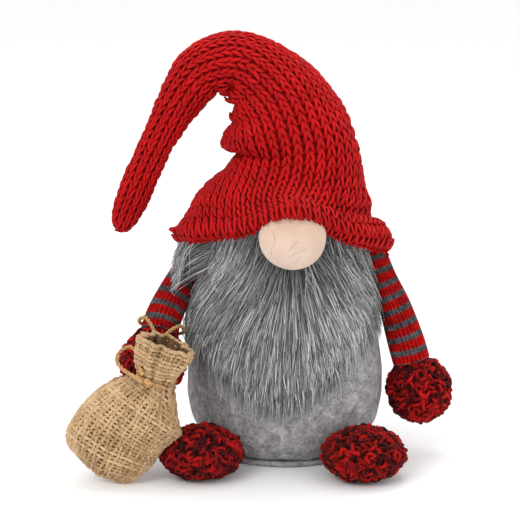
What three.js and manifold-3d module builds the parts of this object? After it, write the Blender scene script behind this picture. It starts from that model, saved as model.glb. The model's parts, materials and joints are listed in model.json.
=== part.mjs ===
// Tomte gnome figurine: a weighted felt body with a fur beard, a ball nose, a knitted hat whose
// tail folds over, two knitted arms with boucle mittens, two boucle feet and a burlap sack.
// Millimetres, +Z up. The gnome faces -Y and its own right hand is at -X.
// Origin: centre of the flat base, on the surface that it stands on.
import * as THREE from 'three';
import { mergeVertices } from 'three/addons/utils/BufferGeometryUtils.js';
import Module from 'manifold-3d';

const wasm = await Module();
wasm.setup();

// Clearances and cloth thicknesses
const GAP = 0.35; // between two pieces that touch
const FELT = 1.6;
const KNIT = 4;
const SLEEVE_KNIT = 1.8;
const BOUCLE = 3.5;
const SKIN = 1.2;
const BURLAP = 1.6;
const TWINE = 3; // diameter

// Body
const BODY_HEIGHT = 212;
const BODY_RADIUS = 71;
const BASE_RADIUS = 54;
const BODY_DEPTH = 0.9; // front to back over side to side
const BASE_RIM = 4;
const CARD = 1.2;
const PELLET_DEPTH = 24;

// Arms
const SHOULDER_HEIGHT = 150;
const SLEEVE_TOP = 10; // radius at the shoulder
const SLEEVE_CUFF = 14; // radius at the wrist
const SLEEVE_EASE = 2; // between the sleeve and the body's side
const FREE_ARM_LENGTH = 84;
const HOLDING_ARM_LENGTH = 62; // bent at the elbow, its knit bunched
const HOLDING_REACH = 27; // wrist in front of the shoulder
const CUFF_FLARE = 4; // how far the wrist stands out, so that the mitten clears the body
const MITTEN_WIDTH = 49;
const MITTEN_DEPTH = 41;
const MITTEN_LENGTH = 52;

// Hat
const CROWN_HEIGHT = 135;
const TAIL_LENGTH = 148;
const BRIM_RISE = 20; // the front of the brim over its sides
const BRIM_DROP = 10; // the back of the brim under its sides
const HAT_EASE = 6; // least room between the crown and the top of the body
const HAT_SIDES = 26; // facets round the crown, and round the filling that fits it
const TAIL_SWING = { low: -8, high: 35 };

// Face
const NOSE_RADIUS = 24;
const NOSE_HEIGHT = 177;
const NOSE_SHIFT = 4;
const NOSE_STEM = 6;
const BEARD_LENGTH = 120;
const BEARD_WIDTH = 110;
const PILE = 12;
const BACKING = 1.4;

// Feet
const FOOT_WIDTH = 62;
const FOOT_HEIGHT = 39;
const FOOT_LENGTH = 60;

// Sack
const SACK_LENGTH = 76; // from the tie to the bottom seam
const SACK_WIDTH = 64;
const SACK_DEPTH = 36;
const MOUTH_LENGTH = 32;
const NECK_RADIUS = 10;

const RADIAN = Math.PI / 180;
const ACROSS = new THREE.Vector3(0, 1, 0);
const UPRIGHT = new THREE.Vector3(0, 0, 1);
const root = new THREE.Group();

// ---------------------------------------------------------------- solids

// A geometry's triangles with shared corners, no empty faces, and faces that point out.
function closed(source) {
  const bare = source.clone();
  bare.deleteAttribute('normal');
  bare.deleteAttribute('uv');
  const merged = mergeVertices(bare, 1e-4);
  const corners = merged.attributes.position;
  const from = merged.index.array;
  const kept = [];
  const [a, b, c] = [new THREE.Vector3(), new THREE.Vector3(), new THREE.Vector3()];
  let volume = 0;
  for (let i = 0; i < from.length; i += 3) {
    const [u, v, w] = [from[i], from[i + 1], from[i + 2]];
    if (u === v || v === w || w === u) continue;
    kept.push(u, v, w);
    a.fromBufferAttribute(corners, u);
    b.fromBufferAttribute(corners, v);
    c.fromBufferAttribute(corners, w);
    volume += a.dot(b.cross(c));
  }
  if (volume < 0) kept.reverse();
  merged.setIndex(kept);
  return merged;
}

function solid(geometry) {
  const mesh = closed(geometry);
  return new wasm.Manifold(new wasm.Mesh({
    numProp: 3,
    vertProperties: mesh.attributes.position.array,
    triVerts: Uint32Array.from(mesh.index.array),
  }));
}

function add(name, body, colour, roughness = 0.95) {
  const mesh = body.getMesh();
  const geometry = new THREE.BufferGeometry();
  geometry.setAttribute('position', new THREE.BufferAttribute(mesh.vertProperties, 3));
  geometry.setIndex(new THREE.BufferAttribute(mesh.triVerts, 1));
  const material = new THREE.MeshStandardMaterial({ color: colour, roughness, metalness: 0 });
  const node = new THREE.Mesh(geometry, material);
  node.name = name;
  root.add(node);
}

// ---------------------------------------------------------------- soft shapes on a spine

// Profiles are [share of the spine, radius] pairs, turned round the spine's own line.

function smooth(pairs, count) {
  const curve = new THREE.SplineCurve(pairs.map(([share, radius]) => new THREE.Vector2(share, radius)));
  return curve.getPoints(count).map((point) => [point.x, Math.max(point.y, 0)]);
}

// A tube open at both ends.
function tube(pairs, wall) {
  const inner = pairs.map(([share, radius]) => [share, radius - wall]).reverse();
  return [...pairs, ...inner, pairs[0]];
}

// A bag open at the spine's start and closed at its end.
function pouch(pairs, wall, length) {
  const inside = 1 - wall / length;
  const inner = pairs.map(([share, radius]) => [share * inside, Math.max(radius - wall, 0)]).reverse();
  return [...inner, ...pairs];
}

// A filling: closed at both ends, inside the wall by a margin.
function filling(pairs, margin, length) {
  const inside = 1 - margin / length;
  const inner = pairs.map(([share, radius]) => [share * inside, Math.max(radius - margin, 0)]);
  return [[inner[0][0], 0], ...inner, [inner.at(-1)[0], 0]];
}

// A round ball from a hole of the given half angle to the far pole.
function ball(radius, hole, count = 8) {
  const pairs = [];
  for (let i = 0; i <= count; i += 1) {
    const angle = hole + (Math.PI - hole) * (i / count);
    pairs.push([(1 - Math.cos(angle)) / 2, radius * Math.sin(angle) * (i < count ? 1 : 0)]);
  }
  return pairs;
}

// The same profile shrunk towards the middle of the spine.
function shrunk(pairs, scale) {
  return pairs.map(([share, radius]) => [0.5 + (share - 0.5) * scale, radius * scale]);
}

// Turns a profile round a spine; deep is the section's size along flat over its width.
function turned(profile, spine, { sides = 24, flat = ACROSS, deep = () => 1, shape = null } = {}) {
  const outline = profile.map(([share, radius]) => new THREE.Vector2(radius, share));
  const lathe = new THREE.LatheGeometry(outline, sides);
  const place = lathe.attributes.position;
  const vertex = new THREE.Vector3();
  for (let i = 0; i < place.count; i += 1) {
    const share = THREE.MathUtils.clamp(place.getY(i), 0, 1);
    const along = spine.getTangentAt(share);
    const side = flat.clone().addScaledVector(along, -flat.dot(along)).normalize();
    const other = new THREE.Vector3().crossVectors(along, side);
    vertex.copy(spine.getPointAt(share));
    vertex.addScaledVector(other, place.getX(i));
    vertex.addScaledVector(side, place.getZ(i) * deep(share));
    if (shape) shape(vertex, share);
    place.setXYZ(i, vertex.x, vertex.y, vertex.z);
  }
  return solid(lathe);
}

function curve(points) {
  return new THREE.CatmullRomCurve3(points.map(([x, y, z]) => new THREE.Vector3(x, y, z)));
}

// Nothing soft goes below the surface that the gnome stands on.
function restingOn(height) {
  return (vertex) => {
    vertex.z = Math.max(vertex.z, height);
  };
}

// ---------------------------------------------------------------- body

const SIDE_LINE = new THREE.SplineCurve([
  [BASE_RADIUS, BASE_RIM + GAP],
  [BODY_RADIUS * 0.945, BODY_HEIGHT * 0.115],
  [BODY_RADIUS, BODY_HEIGHT * 0.255],
  [BODY_RADIUS * 0.958, BODY_HEIGHT * 0.448],
  [BODY_RADIUS * 0.852, BODY_HEIGHT * 0.59],
  [BODY_RADIUS * 0.76, BODY_HEIGHT * 0.707],
  [BODY_RADIUS * 0.69, BODY_HEIGHT * 0.85],
  [BODY_RADIUS * 0.5, BODY_HEIGHT * 0.943],
  [6, BODY_HEIGHT],
].map(([radius, height]) => new THREE.Vector2(radius, height))).getPoints(13);

function bodyRadius(height) {
  const above = SIDE_LINE.findIndex((point) => point.y > height);
  const [low, high] = [SIDE_LINE[above - 1], SIDE_LINE[above]];
  return THREE.MathUtils.mapLinear(height, low.y, high.y, low.x, high.x);
}

function round(points, sides = 24) {
  const lathe = new THREE.LatheGeometry(points, sides);
  lathe.rotateX(Math.PI / 2);
  lathe.scale(1, BODY_DEPTH, 1);
  return solid(lathe);
}

// The body's outer form, swollen or shrunk by a margin, between two heights.
function bodyForm(margin, low = -1, high = BODY_HEIGHT + 30) {
  const between = SIDE_LINE.filter((point) => point.y > low && point.y < high);
  const sides = between.map((point) => new THREE.Vector2(point.x + margin, point.y));
  const bottom = Math.max(low, 0);
  const start = (bottom > SIDE_LINE[0].y ? bodyRadius(bottom) : SIDE_LINE[0].x) + margin;
  const top = sides.at(-1).y;
  return round([new THREE.Vector2(0, bottom), new THREE.Vector2(start, bottom), ...sides, new THREE.Vector2(0, top)]);
}

function makeBody() {
  const outside = SIDE_LINE;
  const inside = SIDE_LINE.map((point) => new THREE.Vector2(point.x - FELT, point.y)).reverse();
  add('felt_body', round([...outside, ...inside, outside[0]]), 0x8b8a8c);

  const dish = [[0, 0], [BASE_RADIUS - 2, 0], [BASE_RADIUS, BASE_RIM / 2], [BASE_RADIUS, BASE_RIM],
    [BASE_RADIUS - FELT, BASE_RIM], [BASE_RADIUS - FELT, FELT + 0.4], [BASE_RADIUS - FELT - 1, FELT], [0, FELT]];
  add('felt_base', round(dish.map(([radius, height]) => new THREE.Vector2(radius, height))), 0x828184);

  const cardRadius = BASE_RADIUS - FELT - 1.5;
  const cardLow = FELT + GAP;
  const card = [[0, cardLow], [cardRadius, cardLow], [cardRadius, cardLow + CARD], [0, cardLow + CARD]];
  add('base_card', round(card.map(([radius, height]) => new THREE.Vector2(radius, height))), 0xa08a68);

  const bagLow = cardLow + CARD + GAP;
  const bagRadius = BASE_RADIUS - FELT - 2;
  const bag = smooth([[0, bagRadius * 0.7], [0.2, bagRadius * 0.92], [0.5, bagRadius],
    [0.8, bagRadius * 0.9], [1, bagRadius * 0.6]], 8);
  const bagSide = bag.map(([share, radius]) => new THREE.Vector2(radius, bagLow + share * PELLET_DEPTH));
  const pellets = [new THREE.Vector2(0, bagLow), ...bagSide, new THREE.Vector2(0, bagLow + PELLET_DEPTH)];
  add('pellet_bag', round(pellets, 20), 0xd8d2c4);

  const fillLow = bagLow + PELLET_DEPTH + GAP;
  add('body_stuffing', bodyForm(-FELT - GAP, fillLow, BODY_HEIGHT * 0.97), 0xf0eee8);
}

// ---------------------------------------------------------------- nose and beard

const NOSE = new THREE.Vector3(
  NOSE_SHIFT,
  -(bodyRadius(NOSE_HEIGHT) * BODY_DEPTH + NOSE_STEM + NOSE_RADIUS),
  NOSE_HEIGHT,
);
const NOSE_HOLE = 18 * RADIAN;

function noseLine() {
  const back = NOSE.clone().addScaledVector(ACROSS, NOSE_RADIUS);
  const front = NOSE.clone().addScaledVector(ACROSS, -NOSE_RADIUS);
  return new THREE.LineCurve3(back, front);
}

function noseForm(margin) {
  const form = new THREE.SphereGeometry(NOSE_RADIUS + margin, 16, 10);
  form.translate(NOSE.x, NOSE.y, NOSE.z);
  return solid(form);
}

function makeNose() {
  const outer = ball(NOSE_RADIUS, NOSE_HOLE);
  const inner = shrunk(outer, 1 - SKIN / NOSE_RADIUS).reverse();
  const upright = { flat: UPRIGHT, sides: 16 };
  add('nose_skin', turned([...inner, ...outer], noseLine(), upright), 0xeccfb8, 0.8);
  const core = shrunk(outer, 1 - (SKIN + GAP) / NOSE_RADIUS);
  add('nose_filling', turned([[core[0][0], 0], ...core], noseLine(), upright), 0xf4f1ea);
}

// The beard's front outline: broad under the brim, drawn in to a point.
function beardOutline(width, length) {
  const top = NOSE_HEIGHT - NOSE_RADIUS * 0.35;
  const half = width / 2;
  const outline = new THREE.Shape();
  outline.moveTo(-half, top);
  outline.bezierCurveTo(-half, top - length * 0.55, -half * 0.75, top - length * 0.8, NOSE_SHIFT, top - length);
  outline.bezierCurveTo(half * 0.75, top - length * 0.8, half, top - length * 0.55, half, top);
  outline.closePath();
  const depth = BODY_RADIUS * 2;
  const prism = new THREE.ExtrudeGeometry(outline, { depth, bevelEnabled: false, curveSegments: 8 });
  prism.rotateX(Math.PI / 2);
  return solid(prism);
}

function makeBeard() {
  const ground = bodyForm(GAP, BASE_RIM * 2);
  const cloth = bodyForm(GAP + BACKING, BASE_RIM * 2).subtract(ground);
  const clearOfNose = noseForm(GAP);
  const backing = cloth.intersect(beardOutline(BEARD_WIDTH * 0.9, BEARD_LENGTH * 0.72));
  add('beard_backing', backing.subtract(clearOfNose), 0x5b5b5c);
  const hair = bodyForm(GAP * 2 + BACKING + PILE, BASE_RIM * 2).subtract(bodyForm(GAP * 2 + BACKING, BASE_RIM));
  const pile = hair.intersect(beardOutline(BEARD_WIDTH, BEARD_LENGTH));
  add('beard_pile', pile.subtract(clearOfNose), 0x7b7b7a);
}

// ---------------------------------------------------------------- arms

function sleeveRadius(share) {
  return THREE.MathUtils.lerp(SLEEVE_TOP, SLEEVE_CUFF, THREE.MathUtils.smoothstep(share, 0, 0.9));
}

const SHOULDER_X = bodyRadius(SHOULDER_HEIGHT) + SLEEVE_EASE + SLEEVE_TOP;

// side is -1 or 1; forward is the wrist's reach in front of the shoulder; out bows the elbow.
function armSpine(side, length, forward, out) {
  const drop = Math.sqrt(length ** 2 - forward ** 2) * 0.955;
  const points = [0, 0.28, 0.54, 0.8, 1].map((share) => {
    const height = SHOULDER_HEIGHT - drop * share;
    const spread = out * Math.sin(share * Math.PI * 0.6) + CUFF_FLARE * share ** 3;
    const x = bodyRadius(height) + SLEEVE_EASE + sleeveRadius(share) + spread;
    return [side * x, -forward * share ** 1.2, height];
  });
  return curve(points);
}

function sleevePairs(margin) {
  const pairs = [];
  for (let i = 0; i <= 7; i += 1) pairs.push([i / 7, sleeveRadius(i / 7) + margin]);
  return pairs;
}

// The room that a sleeve takes at rest.
function sleeveRoom(spine, margin) {
  const room = turned([[0, 0], ...sleevePairs(margin), [1, 0]], spine, { sides: 16 });
  const lifted = room.translate([0, 0, margin]);
  return room.add(lifted);
}

function makeArm(label, spine) {
  const length = spine.getLength();
  const sleeve = sleevePairs(0);
  add(`sleeve_${label}`, turned(tube(sleeve, SLEEVE_KNIT), spine, { sides: 16 }), 0xb4232a);
  const stuffing = filling(sleeve, SLEEVE_KNIT + GAP, length);
  add(`sleeve_stuffing_${label}`, turned(stuffing, spine, { sides: 12 }), 0xf0eee8);

  const { line, radius, hole, deep } = mittenForm(spine);
  const outer = ball(radius, hole);
  const thin = 1 - BOUCLE / radius;
  add(`mitten_${label}`, turned([...shrunk(outer, thin).reverse(), ...outer], line, { sides: 16, deep }), 0x9c1216);
  const core = shrunk(ball(radius, hole), 1 - (BOUCLE + GAP * 2) / radius);
  add(`mitten_stuffing_${label}`, turned([[core[0][0], 0], ...core], line, { sides: 12, deep }), 0xf0eee8);
}

// A mitten hangs on the end of the sleeve, its opening facing the cuff.
function mittenForm(spine) {
  const wrist = spine.getPointAt(1);
  const along = spine.getTangentAt(1);
  const radius = MITTEN_WIDTH / 2;
  const hole = Math.asin((SLEEVE_CUFF - 1) / radius);
  const rim = MITTEN_LENGTH * (1 - Math.cos(hole)) / 2;
  const start = wrist.clone().addScaledVector(along, GAP - rim);
  const end = start.clone().addScaledVector(along, MITTEN_LENGTH);
  const deep = () => MITTEN_DEPTH / MITTEN_WIDTH;
  return { line: new THREE.LineCurve3(start, end), radius, hole, deep };
}

// The hand at -X holds the sack, so it comes forward.
const HOLDING_ARM = armSpine(-1, HOLDING_ARM_LENGTH, HOLDING_REACH, 3);
const FREE_ARM = armSpine(1, FREE_ARM_LENGTH, 5, 0);

// ---------------------------------------------------------------- hat

const BRIM_RADIUS = SHOULDER_X + SLEEVE_TOP + GAP + KNIT;
const BRIM_HEIGHT = SHOULDER_HEIGHT + 5;
const CROWN_STEPS = [[0, 0], [-0.01, 0.096], [-0.02, 0.207], [0, 0.356], [0.033, 0.533], [0.007, 0.689],
  [-0.052, 0.83], [-0.141, 0.933], [-0.237, 0.993], [-0.326, 1]];
const CROWN_LINE = curve(CROWN_STEPS.map(([across, up]) => [
  across * CROWN_HEIGHT, 0, BRIM_HEIGHT + up * CROWN_HEIGHT]));
const CROWN_RADII = [[0, 1], [0.08, 0.99], [0.175, 0.83], [0.3, 0.71], [0.45, 0.565], [0.59, 0.54],
  [0.71, 0.47], [0.83, 0.355], [0.925, 0.285], [1, 0.26]];
const FOLD = CROWN_LINE.getPointAt(1);
const TAIL_STEPS = [[0, 0, 0], [-0.122, -0.005, -0.047], [-0.223, -0.01, -0.182], [-0.304, -0.015, -0.345],
  [-0.378, -0.02, -0.514], [-0.446, -0.025, -0.682], [-0.497, -0.03, -0.824]];
const TAIL_LINE = curve(TAIL_STEPS.map(([x, y, z]) => [
  FOLD.x + x * TAIL_LENGTH, y * TAIL_LENGTH, FOLD.z + z * TAIL_LENGTH]));
const TAIL_RADII = [[0, 0.25], [0.13, 0.24], [0.3, 0.195], [0.48, 0.158], [0.67, 0.136], [0.85, 0.114],
  [0.94, 0.098], [0.985, 0.055], [1, 0]];

// The crown is never tighter than the top of the body inside it.
function crownRadius(share, radius) {
  const height = CROWN_LINE.getPointAt(share).z;
  const inside = height < BODY_HEIGHT ? bodyRadius(height) + HAT_EASE : 0;
  return Math.max(radius * BRIM_RADIUS, inside + GAP + KNIT);
}

function crownPairs(margin) {
  return smooth(CROWN_RADII.map(([share, radius]) => [share, crownRadius(share, radius) - margin]), 12);
}

function tailPairs(margin) {
  return smooth(TAIL_RADII.map(([share, radius]) => [share, Math.max(radius * BRIM_RADIUS - margin, 0)]), 10);
}

// The lower crown spreads to the brim, rises at the front, and is lifted out over the nose.
function drape(vertex, share) {
  const low = 0.5 + 0.5 * Math.cos(Math.PI * Math.min(share / 0.42, 1));
  const reach = Math.hypot(vertex.x, vertex.y) || 1;
  const front = -vertex.y / reach;
  const tilt = vertex.x / reach;
  const rise = front > 0 ? BRIM_RISE : BRIM_DROP;
  const onNose = Math.exp(-0.5 * ((vertex.x - NOSE.x) / (NOSE_RADIUS * 0.75)) ** 2) * (front > 0 ? 1 : 0);
  const outward = -NOSE.y + NOSE_RADIUS * 0.7 - BRIM_RADIUS * 0.92;
  const upward = NOSE.z + NOSE_RADIUS * 0.85 - BRIM_HEIGHT - BRIM_RISE;
  vertex.z += low * (rise * front - 6 * tilt + onNose * upward);
  vertex.y -= low * onNose * Math.max(outward, 0);
}

function crownDepth(share) {
  return THREE.MathUtils.lerp(0.92, 1.12, share);
}

// The room that the tail takes as it bends at the fold.
function tailSweep() {
  const spread = turned([[0, 0], ...tailPairs(-GAP * 2), [1, 0]], TAIL_LINE, { sides: 16 });
  let sweep = null;
  for (let angle = TAIL_SWING.low; angle <= TAIL_SWING.high + 0.1; angle += 4.3) {
    const turn = new THREE.Matrix4().makeTranslation(FOLD);
    turn.multiply(new THREE.Matrix4().makeRotationY(angle * RADIAN));
    turn.multiply(new THREE.Matrix4().makeTranslation(FOLD.clone().negate()));
    const posed = spread.transform(turn.elements);
    sweep = sweep ? sweep.add(posed) : posed;
  }
  return sweep;
}

function makeHat() {
  const sweep = tailSweep();
  const knitted = { sides: HAT_SIDES, deep: crownDepth, shape: drape };
  const crown = turned(tube(crownPairs(0), KNIT), CROWN_LINE, knitted);
  const clearOfArms = sleeveRoom(HOLDING_ARM, GAP).add(sleeveRoom(FREE_ARM, GAP));
  const clear = sweep.add(noseForm(GAP)).add(bodyForm(GAP)).add(clearOfArms);
  add('hat_crown', crown.subtract(clear), 0xa81a1f);

  const inside = crownPairs(KNIT + GAP * 2).filter(([share]) => share > 0.5 && share < 0.97);
  const lump = [[inside[0][0], 0], ...inside, [inside.at(-1)[0], 0]];
  const stuffing = turned(lump, CROWN_LINE, { sides: HAT_SIDES, deep: crownDepth });
  const wall = turned(tube(crownPairs(0), KNIT + GAP), CROWN_LINE, knitted);
  add('hat_crown_stuffing', stuffing.subtract(sweep.add(bodyForm(GAP)).add(wall)), 0xf0eee8);

  const tail = pouch(tailPairs(0), KNIT, TAIL_LENGTH);
  add('hat_tail', turned(tail, TAIL_LINE, { sides: 16 }), 0xa81a1f);
  const core = filling(tailPairs(0).filter(([share]) => share < 0.95), KNIT + GAP, TAIL_LENGTH);
  add('hat_tail_stuffing', turned(core, TAIL_LINE, { sides: 14 }), 0xf0eee8);
}

// ---------------------------------------------------------------- sack

const HAND = mittenForm(HOLDING_ARM).line.getPoint(0.5);
const TIE = new THREE.Vector3(
  HAND.x + 3,
  HAND.y - MITTEN_DEPTH / 2 - NECK_RADIUS - TWINE - 2.5,
  HAND.z - 7,
);

// The sack leans out from the tie until its bottom seam is down on the surface.
const SACK_FALL = TIE.z - SACK_WIDTH * 0.11;
const SACK_LEAN = Math.sqrt(SACK_LENGTH ** 2 - SACK_FALL ** 2);
const SACK_STEPS = [[0, 0], [0.28, 0.21], [0.62, 0.5], [0.86, 0.77], [1, 1]];
const SACK_LINE = curve([
  [TIE.x + MOUTH_LENGTH * 0.3, TIE.y - 2, TIE.z + MOUTH_LENGTH * 0.95],
  [TIE.x + MOUTH_LENGTH * 0.12, TIE.y - 1, TIE.z + MOUTH_LENGTH * 0.45],
  ...SACK_STEPS.map(([out, down]) => [
    TIE.x - SACK_LEAN * 0.97 * out, TIE.y - SACK_LEAN * 0.25 * out, TIE.z - SACK_FALL * down]),
]);
const SACK_NECK = MOUTH_LENGTH / SACK_LINE.getLength(); // the tie's share of the sack's line

function sackPairs(margin) {
  const bag = (share) => SACK_NECK + (1 - SACK_NECK) * share;
  const half = SACK_WIDTH / 2;
  return smooth([[0, NECK_RADIUS * 1.5], [SACK_NECK * 0.5, NECK_RADIUS * 1.3], [SACK_NECK, NECK_RADIUS],
    [bag(0.22), half * 0.78], [bag(0.45), half * 0.98], [bag(0.7), half], [bag(0.92), half * 0.93],
    [bag(0.985), half * 0.7]], 13).map(([share, radius]) => [share, radius - margin]);
}

function sackDepth(share) {
  const down = (share - SACK_NECK) / (1 - SACK_NECK);
  const full = SACK_DEPTH / SACK_WIDTH;
  if (down < 0) return 0.9;
  if (down < 0.5) return THREE.MathUtils.lerp(0.9, full, THREE.MathUtils.smoothstep(down, 0, 0.3));
  return THREE.MathUtils.lerp(full, full * 0.35, ((down - 0.5) / 0.5) ** 2);
}

// The bag's outer form, swollen by a margin, from one share of its line to another.
function sackForm(margin, start, floor, end = 1) {
  const whole = sackPairs(-margin);
  const next = whole.findIndex(([share]) => share > start);
  const [before, after] = [whole[next - 1], whole[next]];
  const rim = [start, THREE.MathUtils.mapLinear(start, before[0], after[0], before[1], after[1])];
  const pairs = [rim, ...whole.filter(([share]) => share > start && share < end)];
  const shape = restingOn(floor);
  return turned([[start, 0], ...pairs, [end, 0]], SACK_LINE, { sides: 20, deep: sackDepth, shape });
}

function makeSack() {
  const lip = 0.015;
  add('sack_cloth', sackForm(0, lip, 0).subtract(sackForm(-BURLAP, 0, BURLAP, 0.985)), 0xb39776);
  const inset = BURLAP + GAP * 2;
  add('sack_stuffing', sackForm(-inset, SACK_NECK * 1.1, inset, 0.97), 0xf0eee8);
}

// ---------------------------------------------------------------- jute twine

function twine(points, steps) {
  const section = new THREE.Shape();
  for (let i = 0; i < 8; i += 1) {
    const angle = (i / 8) * 2 * Math.PI;
    const [x, y] = [Math.cos(angle) * TWINE / 2, Math.sin(angle) * TWINE / 2];
    if (i === 0) section.moveTo(x, y);
    else section.lineTo(x, y);
  }
  section.closePath();
  return solid(new THREE.ExtrudeGeometry(section, { steps, extrudePath: curve(points), bevelEnabled: false }));
}

// Offsets from the tie, in millimetres.
function fromTie(offsets) {
  return offsets.map(([x, y, z]) => [TIE.x + x, TIE.y + y, TIE.z + z]);
}

const NECK_DEEP = NECK_RADIUS * 0.9;

function makeTwine() {
  // Two turns drawn tight round the neck of the sack, with the knot in front.
  const ring = new THREE.TorusGeometry(NECK_RADIUS + TWINE / 2 + GAP * 2, TWINE / 2, 6, 14);
  ring.scale(1, 0.9, 1.4);
  const along = SACK_LINE.getTangentAt(SACK_NECK);
  ring.applyQuaternion(new THREE.Quaternion().setFromUnitVectors(UPRIGHT, along));
  ring.translate(TIE.x, TIE.y, TIE.z);
  const knot = new THREE.SphereGeometry(TWINE * 0.95, 8, 6);
  knot.translate(TIE.x - 3, TIE.y - NECK_DEEP - TWINE, TIE.z + 3);
  const clearOfSack = sackForm(GAP, 0, 0);
  add('sack_tie', solid(ring).add(solid(knot)).subtract(clearOfSack), 0xb8925f);

  // The loop of the bow stands up from the knot and leans on the mitten.
  const bow = fromTie([[-6.5, -18, 5], [-12, -16.5, 9], [-19, -12, 12], [-24, -7, 16], [-24.5, -1.5, 20],
    [-21, 3, 23.5], [-16, 4.5, 25], [-11.5, 2, 22.5], [-9.5, -4, 18], [-8, -10.5, 14], [-6, -17, 10.5]]);
  add('sack_bow', twine(bow, 22), 0xb8925f);

  // A loop over the wrist, its two ends down the front of the mitten to the neck of the sack.
  const { line } = mittenForm(HOLDING_ARM);
  const down = line.getTangent(0);
  const front = ACROSS.clone().negate().addScaledVector(down, down.y).normalize();
  const beside = new THREE.Vector3().crossVectors(down, front);
  const middle = HOLDING_ARM.getPointAt(0.92);
  const over = SLEEVE_CUFF + TWINE / 2 + GAP * 4;
  const proud = MITTEN_DEPTH / 2 + TWINE / 2 + GAP * 5;
  const strand = (side) => [46, 60, 76].map((degrees) => {
    const point = line.getPoint((1 - Math.cos(degrees * RADIAN)) / 2);
    return point.addScaledVector(front, proud * Math.sin(degrees * RADIAN)).addScaledVector(beside, side * 5);
  });
  const round = [];
  for (let degrees = 50; degrees <= 310; degrees += 26) {
    const point = middle.clone().addScaledVector(front, over * Math.cos(degrees * RADIAN));
    round.push(point.addScaledVector(beside, over * Math.sin(degrees * RADIAN)));
  }
  const route = [...strand(1).reverse(), ...round, ...strand(-1)].map((point) => point.toArray());
  add('wrist_loop', twine(route, 30), 0xb8925f);
}

// ---------------------------------------------------------------- feet

function makeFoot(label, side, bearing, sack) {
  const middle = FOOT_HEIGHT / 2;
  const angle = bearing * RADIAN;
  const out = bodyRadius(middle) * 0.94 + FOOT_LENGTH / 2 - 1;
  const centre = new THREE.Vector3(side * Math.sin(angle) * out, -Math.cos(angle) * out, middle - 1);
  const toe = new THREE.Vector3(side * Math.sin(22 * RADIAN), -Math.cos(22 * RADIAN), 0);
  const heel = centre.clone().addScaledVector(toe, -FOOT_LENGTH / 2);
  const line = new THREE.LineCurve3(heel, centre.clone().addScaledVector(toe, FOOT_LENGTH / 2));
  const radius = FOOT_WIDTH / 2;
  const outer = ball(radius, 30 * RADIAN, 8);
  const deep = () => FOOT_HEIGHT / FOOT_WIDTH;
  const pad = { flat: UPRIGHT, deep, sides: 16 };
  const thin = 1 - BOUCLE / middle;
  const core = 1 - (BOUCLE + GAP) / middle;
  const clear = bodyForm(GAP).add(sack);
  const form = turned([[outer[0][0], 0], ...outer], line, { ...pad, shape: restingOn(0) });
  const lining = shrunk(outer, thin);
  const hollow = turned([[0, 0], [0, lining[0][1]], ...lining], line, { ...pad, shape: restingOn(BOUCLE) });
  add(`foot_${label}`, form.subtract(hollow).subtract(clear), 0x9c1216);
  const inner = shrunk(outer, core);
  const fill = turned([[inner[0][0], 0], ...inner], line, { ...pad, shape: restingOn(BOUCLE + GAP) });
  add(`foot_stuffing_${label}`, fill.subtract(clear), 0xf0eee8);
}

makeBody();
makeNose();
makeBeard();
makeArm('right', HOLDING_ARM);
makeArm('left', FREE_ARM);
makeHat();
makeSack();
makeTwine();
makeFoot('right', -1, 42, sackForm(GAP, 0, 0));
makeFoot('left', 1, 38, sackForm(GAP, 0, 0));

export default root;
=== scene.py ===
import json
import math
import bmesh
import bpy
import numpy as np
from mathutils import Matrix, Vector


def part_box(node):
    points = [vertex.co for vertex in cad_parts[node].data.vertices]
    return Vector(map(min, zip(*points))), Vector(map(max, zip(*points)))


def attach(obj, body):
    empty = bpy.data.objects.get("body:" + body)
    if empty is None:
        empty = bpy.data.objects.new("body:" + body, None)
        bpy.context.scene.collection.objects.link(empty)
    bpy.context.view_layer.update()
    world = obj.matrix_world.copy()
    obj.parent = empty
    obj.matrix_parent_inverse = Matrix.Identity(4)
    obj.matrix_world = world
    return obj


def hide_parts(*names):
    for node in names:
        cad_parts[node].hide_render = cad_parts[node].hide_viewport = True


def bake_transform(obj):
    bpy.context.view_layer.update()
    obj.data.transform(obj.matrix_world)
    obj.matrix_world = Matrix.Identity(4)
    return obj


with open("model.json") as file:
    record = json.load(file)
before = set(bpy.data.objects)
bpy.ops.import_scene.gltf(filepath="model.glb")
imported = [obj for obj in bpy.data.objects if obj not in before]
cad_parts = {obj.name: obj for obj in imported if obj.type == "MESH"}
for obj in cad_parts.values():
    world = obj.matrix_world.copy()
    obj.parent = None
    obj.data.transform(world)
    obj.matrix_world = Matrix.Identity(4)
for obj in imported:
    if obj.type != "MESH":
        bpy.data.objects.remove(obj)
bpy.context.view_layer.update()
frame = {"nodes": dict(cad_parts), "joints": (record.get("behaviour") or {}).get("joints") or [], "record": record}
scene = bpy.context.scene
joint_at = {joint["name"]: np.array(joint["pos_m"]) for joint in frame["joints"]}
MM = 0.001


# ---------------------------------------------------------------- camera
# A long lens a little above the gnome's middle, looking slightly down at it.

AIM = Vector((-0.0187, -0.035, 0.1524))
CAMERA_TILT = math.radians(12)
CAMERA_REACH = 1.5

camera = bpy.data.objects.new("camera", bpy.data.cameras.new("camera"))
scene.collection.objects.link(camera)
camera.data.sensor_width = 36
camera.data.lens = 144
camera.location = AIM + CAMERA_REACH * Vector((0, -math.cos(CAMERA_TILT), math.sin(CAMERA_TILT)))
camera.rotation_euler = (math.pi / 2 - CAMERA_TILT, 0, 0)
scene.camera = camera


# ---------------------------------------------------------------- bow of jute twine
# Two plies of jute laid round each other, 3 mm across. It leaves the knot in front of the
# sack's neck, stands up as one stiff loop, and goes back into the knot.

TWINE = 3 * MM
TWINE_LAY = 7 * MM  # the length in which a ply goes once round
TWINE_SIDES = 7
PLIES = 2


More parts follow.
